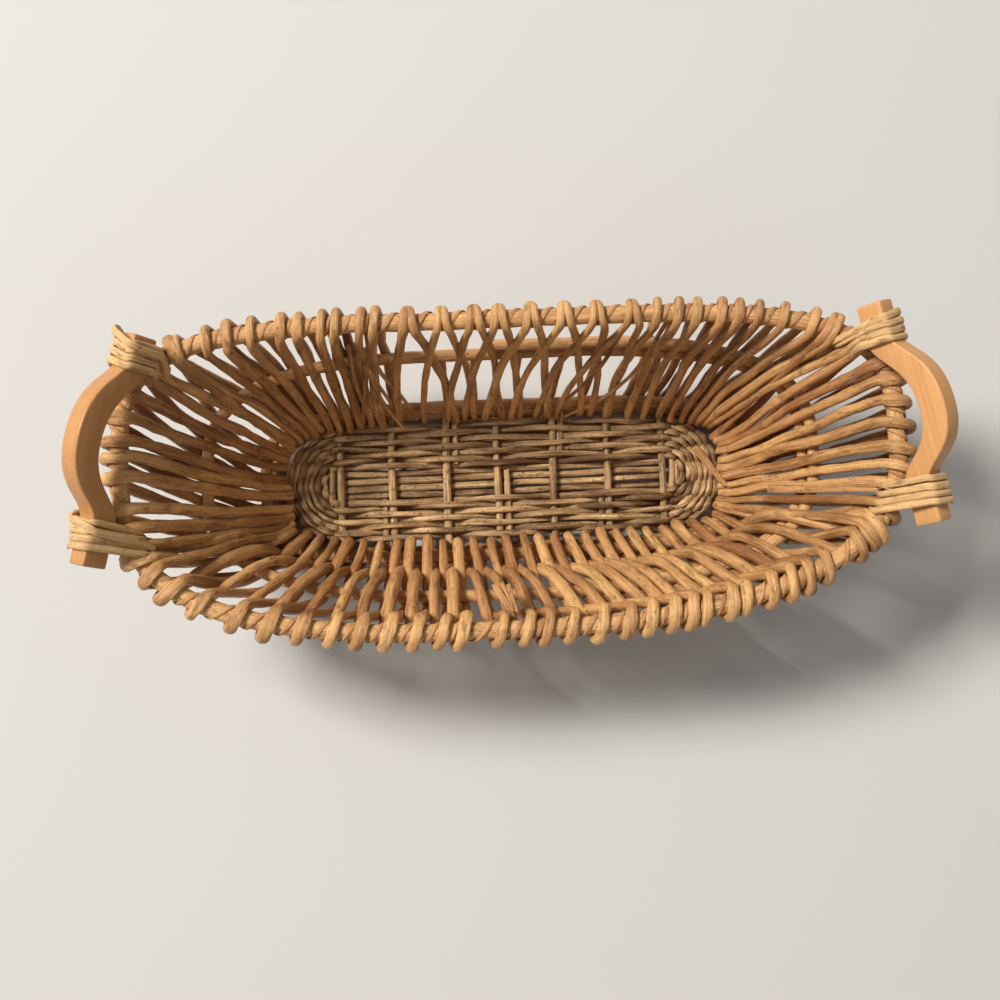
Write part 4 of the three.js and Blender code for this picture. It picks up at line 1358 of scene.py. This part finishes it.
def lashing_path(tie, sizes, rng):
    """Cane wound round a handle's end and the rim, and the way that its flat side looks."""
    spot, turns = HandleFrame(tie.side), tie.turns
    reach, pitch = sizes["cane"] * STRAND_DEPTH + STRAND_CLEAR, sizes["cane"] * STRAND_PITCH
    width, depth = sizes["board_width"] / 2, sizes["board_depth"] / 2
    sine, cosine = math.sin(HANDLE_TILT), math.cos(HANDLE_TILT)
    lean = np.array([[sine, cosine], [cosine, -sine]])
    corners = [np.array([a, b]) @ lean for a in (-width, width) for b in (-depth, depth)]
    outermost = max(corner[0] for corner in corners)
    crowd = running(rng.uniform(*STRAND_CROWD, turns)) - turns / 2
    crowd = np.append(crowd, crowd[-1] - tie.cross * turns)
    slack = np.append(rng.uniform(0, STRAND_SLACK, turns + 1), CROSS_SLACK)
    strays = rng.uniform(-STRAND_ASTRAY, STRAND_ASTRAY, turns + 2)
    over = np.append(np.zeros(turns + 1), 1.0) * (CROSS_LIFT * reach if tie.cross else 0)
    whole = np.arange(turns + 2)
    points, facing = [], []
    for k in range(int((turns + (CROSS_TURN if tie.cross else 0)) * STRAND_STEPS) + 1):
        turn = k / STRAND_STEPS
        angle = 2 * math.pi * turn - STRAND_START
        way = np.array([math.cos(angle), math.sin(angle)])
        run = float(np.interp(turn, whole, crowd))
        start = tie.middle + run * pitch
        stray = float(np.interp(turn, whole, strays))
        advance = along_rim = tie.rim_middle + run * (pitch * tie.rim_share) + stray
        place = rim_beside(spot, along_rim)
        slant = max(RIM_SLANT, abs(RIM.outward(place) @ spot.out))
        oval = sizes["rim"] / 2 + np.array(RIM_ROOM)
        oval[0] /= slant
        across = RIM.at(place) - spot.middle
        hub = np.array([across @ spot.out, across[2]])
        best = hub + oval**2 * way / np.linalg.norm(oval * way)
        for corner in corners:
            if corner @ way > best @ way:
                share = min(STRAND_SLANT, (outermost - corner[0]) / (outermost - hub[0]))
                best, advance = corner, start + (along_rim - start) * share
        late = min(turn, turns) + CROSS_HURRY * max(0, turn - turns)
        lift = np.interp(turn, whole, slack) + np.interp(late, whole, over)
        best = best + way * (reach + float(lift))
        points.append(spot.middle + spot.along * advance + spot.out * best[0] + UP * best[1])
        facing.append(spot.out * way[0] + UP * way[1])
    return np.array(points), np.array(facing)


class BASKET_OT_lashings(PieceOperator, bpy.types.Operator):
    """Flat cane that ties each handle's ends to the rim"""

    bl_idname = "basket.lashings"
    bl_label = "Lashings"

    def make(self, sizes, colours):
        for name, tie in LASHINGS.items():
            rng = np.random.default_rng(tie.seed)
            path, facing = lashing_path(tie, sizes, rng)
            used = np.append(True, gaps(path) > 1e-6)
            path, where = spline_through(evened(path[used], 1))
            looks = spread(facing[used], where)
            path = evened(path, 6)
            keep = thinned(path, 9, 5)
            half = sizes["cane"] / 2 * swelling(keep, 0.14, 80, rng)
            bundle = Bundle()
            deep = half * CANE_FLAT
            bundle.add(path[keep], half, deep, looks[keep], CANE_TONE, rng, 12, rough=0.03, flat=0.25)
            bundle.build(f"cane_{name}", cane_finish(colours), [f"lashing_{name}"])


# Rim binding
STRIP_STEPS = 24  # from one wrap to the next
STRIP_START = -70  # degrees round the rim
STRIP_RUN = (0.08, 0.92)  # of the way between two wraps, where the strip shows
STRIP_SHOWN = (0.02, 0.74)  # of a turn, over which it runs that way
STRIP_HALF = (1.5, 0.6)  # half width and half depth
STRIP_LIFT = 0.45  # of its middle off the rim


class BASKET_OT_rim_binding(PieceOperator, bpy.types.Operator):
    """A thin strip wound round the rim, seen slantwise between the wraps"""

    bl_idname = "basket.rim_binding"
    bl_label = "Rim binding"

    def make(self, sizes, colours):
        bundle = Bundle()
        for g, (side, wraps) in enumerate(WRAPS.items()):
            self.strip(bundle, [RIM.place_on(side, along) for along in wraps], sizes["rim"], 600 + g)
        bundle.build("rim_strip", hoop_finish(colours), [])

    def strip(self, bundle, wraps, rim, seed):
        rng = np.random.default_rng(seed)
        first, last = STRIP_RUN
        shown, hidden = STRIP_SHOWN
        points, facing = [], []
        for start, end in zip(wraps[:-1], wraps[1:]):
            for k in range(STRIP_STEPS):
                share = k / STRIP_STEPS
                if share <= hidden:
                    run = first + (last - first) * np.clip((share - shown) / (hidden - shown), 0, 1)
                else:
                    run = last + 2 * first * (share - hidden) / (1 - hidden)
                place = start + (end - start) * run
                look = RIM.around(place, STRIP_START + 360 * share)
                points.append(RIM.at(place) + look * (rim / 2 + STRIP_LIFT))
                facing.append(look)
        path, where = spline_through(points)
        keep = thinned(path, 10, 5)
        half = STRIP_HALF[0] * swelling(keep, 0.2, 60, rng)
        looks = spread(facing, where)[keep]
        bundle.add(path[keep], half, np.full(len(keep), STRIP_HALF[1]), looks, 0.5, rng, 8)


# Loose ends
LOOSE_TAPER = (1.08, 0.82)  # of a rod's thickness, at its two ends
LOOSE_TONES = (0.25, 0.65)  # least and most


class BASKET_OT_loose_ends(PieceOperator, bpy.types.Operator):
    """Thin stray rods in the far wall, split pieces on the right and near walls and one on the base"""

    bl_idname = "basket.loose_ends"
    bl_label = "Loose ends"

    def make(self, sizes, colours):
        bundle = Bundle()
        for k, (thickness, flat, points) in enumerate(LOOSE_RODS):
            rng = np.random.default_rng(700 + k)
            path = spline_through(points)[0]
            path = path[thinned(path)]
            half = thickness / 2 * np.linspace(*LOOSE_TAPER, len(path))
            tone = rng.uniform(*LOOSE_TONES)
            bundle.add(path, half, half * flat, steady(path, UP), tone, rng, rough=0.08)
        bundle.build("loose_willow", wall_finish(colours), [])


# Stage: places in metres, except the camera's, and angles in degrees
FLOOR_REACH = 4.0
CAMERA_PLACE = np.array([-50.6, -56.4, 1036.6])
CAMERA_TURN = (2.432, -2.509, -2.58)
CAMERA_LENS, CAMERA_SENSOR = 50.13, 36.0
LIGHTS = {
    "key": ((-2.8, 1.85, 3.9), 1.3, 350.0, (1.0, 0.98, 0.94)),
    "fill": ((0.7, -0.9, 1.8), 1.6, 3.0, (1.0, 0.98, 0.95)),
}  # place, size, power and colour
LIGHTS_AIM = Vector((0, 0, 0.08))
ROOM_COLOUR, ROOM_LIGHT = (1.0, 0.98, 0.95, 1.0), 0.26


class BASKET_OT_stage(PieceOperator, bpy.types.Operator):
    """Plain floor, soft light and the camera"""

    bl_idname = "basket.stage"
    bl_label = "Stage"

    def make(self, sizes, colours):
        scene = bpy.context.scene
        mesh = bpy.data.meshes.new("floor")
        corners = [(x * FLOOR_REACH, y * FLOOR_REACH, 0) for x, y in ((-1, -1), (1, -1), (1, 1), (-1, 1))]
        mesh.from_pydata(corners, [], [(0, 1, 2, 3)])
        mesh.materials.append(floor_finish("floor", colours.floor))
        floor = bpy.data.objects.new("floor", mesh)
        scene.collection.objects.link(floor)
        self.camera(scene)
        for name, light in LIGHTS.items():
            self.light(scene, name, *light)
        world = bpy.data.worlds.new("soft_room")
        world.use_nodes = True
        back = world.node_tree.nodes["Background"]
        back.inputs["Color"].default_value = ROOM_COLOUR
        back.inputs["Strength"].default_value = ROOM_LIGHT
        scene.world = world
        scene.view_settings.view_transform = "Standard"

    def camera(self, scene):
        lens = bpy.data.cameras.new("camera")
        lens.lens = CAMERA_LENS
        lens.sensor_width = CAMERA_SENSOR
        camera = bpy.data.objects.new("camera", lens)
        camera.location = (CAMERA_PLACE + SHIFT) * MM
        camera.rotation_euler = [math.radians(a) for a in CAMERA_TURN]
        scene.collection.objects.link(camera)
        bpy.context.scene.camera = camera

    def light(self, scene, name, place, size, power, colour):
        lamp = bpy.data.lights.new(name, "AREA")
        lamp.size = size
        lamp.energy = power
        lamp.color = colour
        made = bpy.data.objects.new(name, lamp)
        made.location = place
        made.rotation_euler = (LIGHTS_AIM - Vector(place)).to_track_quat("-Z", "Y").to_euler()
        scene.collection.objects.link(made)


STEPS = (
    BASKET_OT_stage,
    BASKET_OT_base_sticks,
    BASKET_OT_base_weave,
    BASKET_OT_base_hoops,
    BASKET_OT_middle_hoop,
    BASKET_OT_rim,
    BASKET_OT_rim_binding,
    BASKET_OT_wall_far,
    BASKET_OT_wall_left,
    BASKET_OT_wall_near,
    BASKET_OT_wall_right,
    BASKET_OT_loose_ends,
    BASKET_OT_handles,
    BASKET_OT_lashings,
)


class BASKET_PT_panel(bpy.types.Panel):
    """Lists the basket's pieces, sizes and colours"""

    bl_label = "Basket"
    bl_idname = "BASKET_PT_panel"
    bl_space_type = "VIEW_3D"
    bl_region_type = "UI"
    bl_category = "Basket"

    def draw(self, context):
        basket = context.scene.basket
        for step in STEPS:
            self.layout.operator(step.bl_idname)
        for group in (basket.sizes, basket.colours):
            column = self.layout.column()
            for name in type(group).__annotations__:
                column.prop(group, name)


CLASSES = (BasketSizes, BasketColours, BasketSettings, *STEPS, BASKET_PT_panel)


def register():
    for each in CLASSES:
        bpy.utils.register_class(each)
    bpy.types.Scene.basket = bpy.props.PointerProperty(type=BasketSettings)


def unregister():
    del bpy.types.Scene.basket
    for each in reversed(CLASSES):
        bpy.utils.unregister_class(each)


def main():
    register()
    for step in STEPS:
        group, name = step.bl_idname.split(".")
        getattr(getattr(bpy.ops, group), name)()


if __name__ == "__main__":
    main()
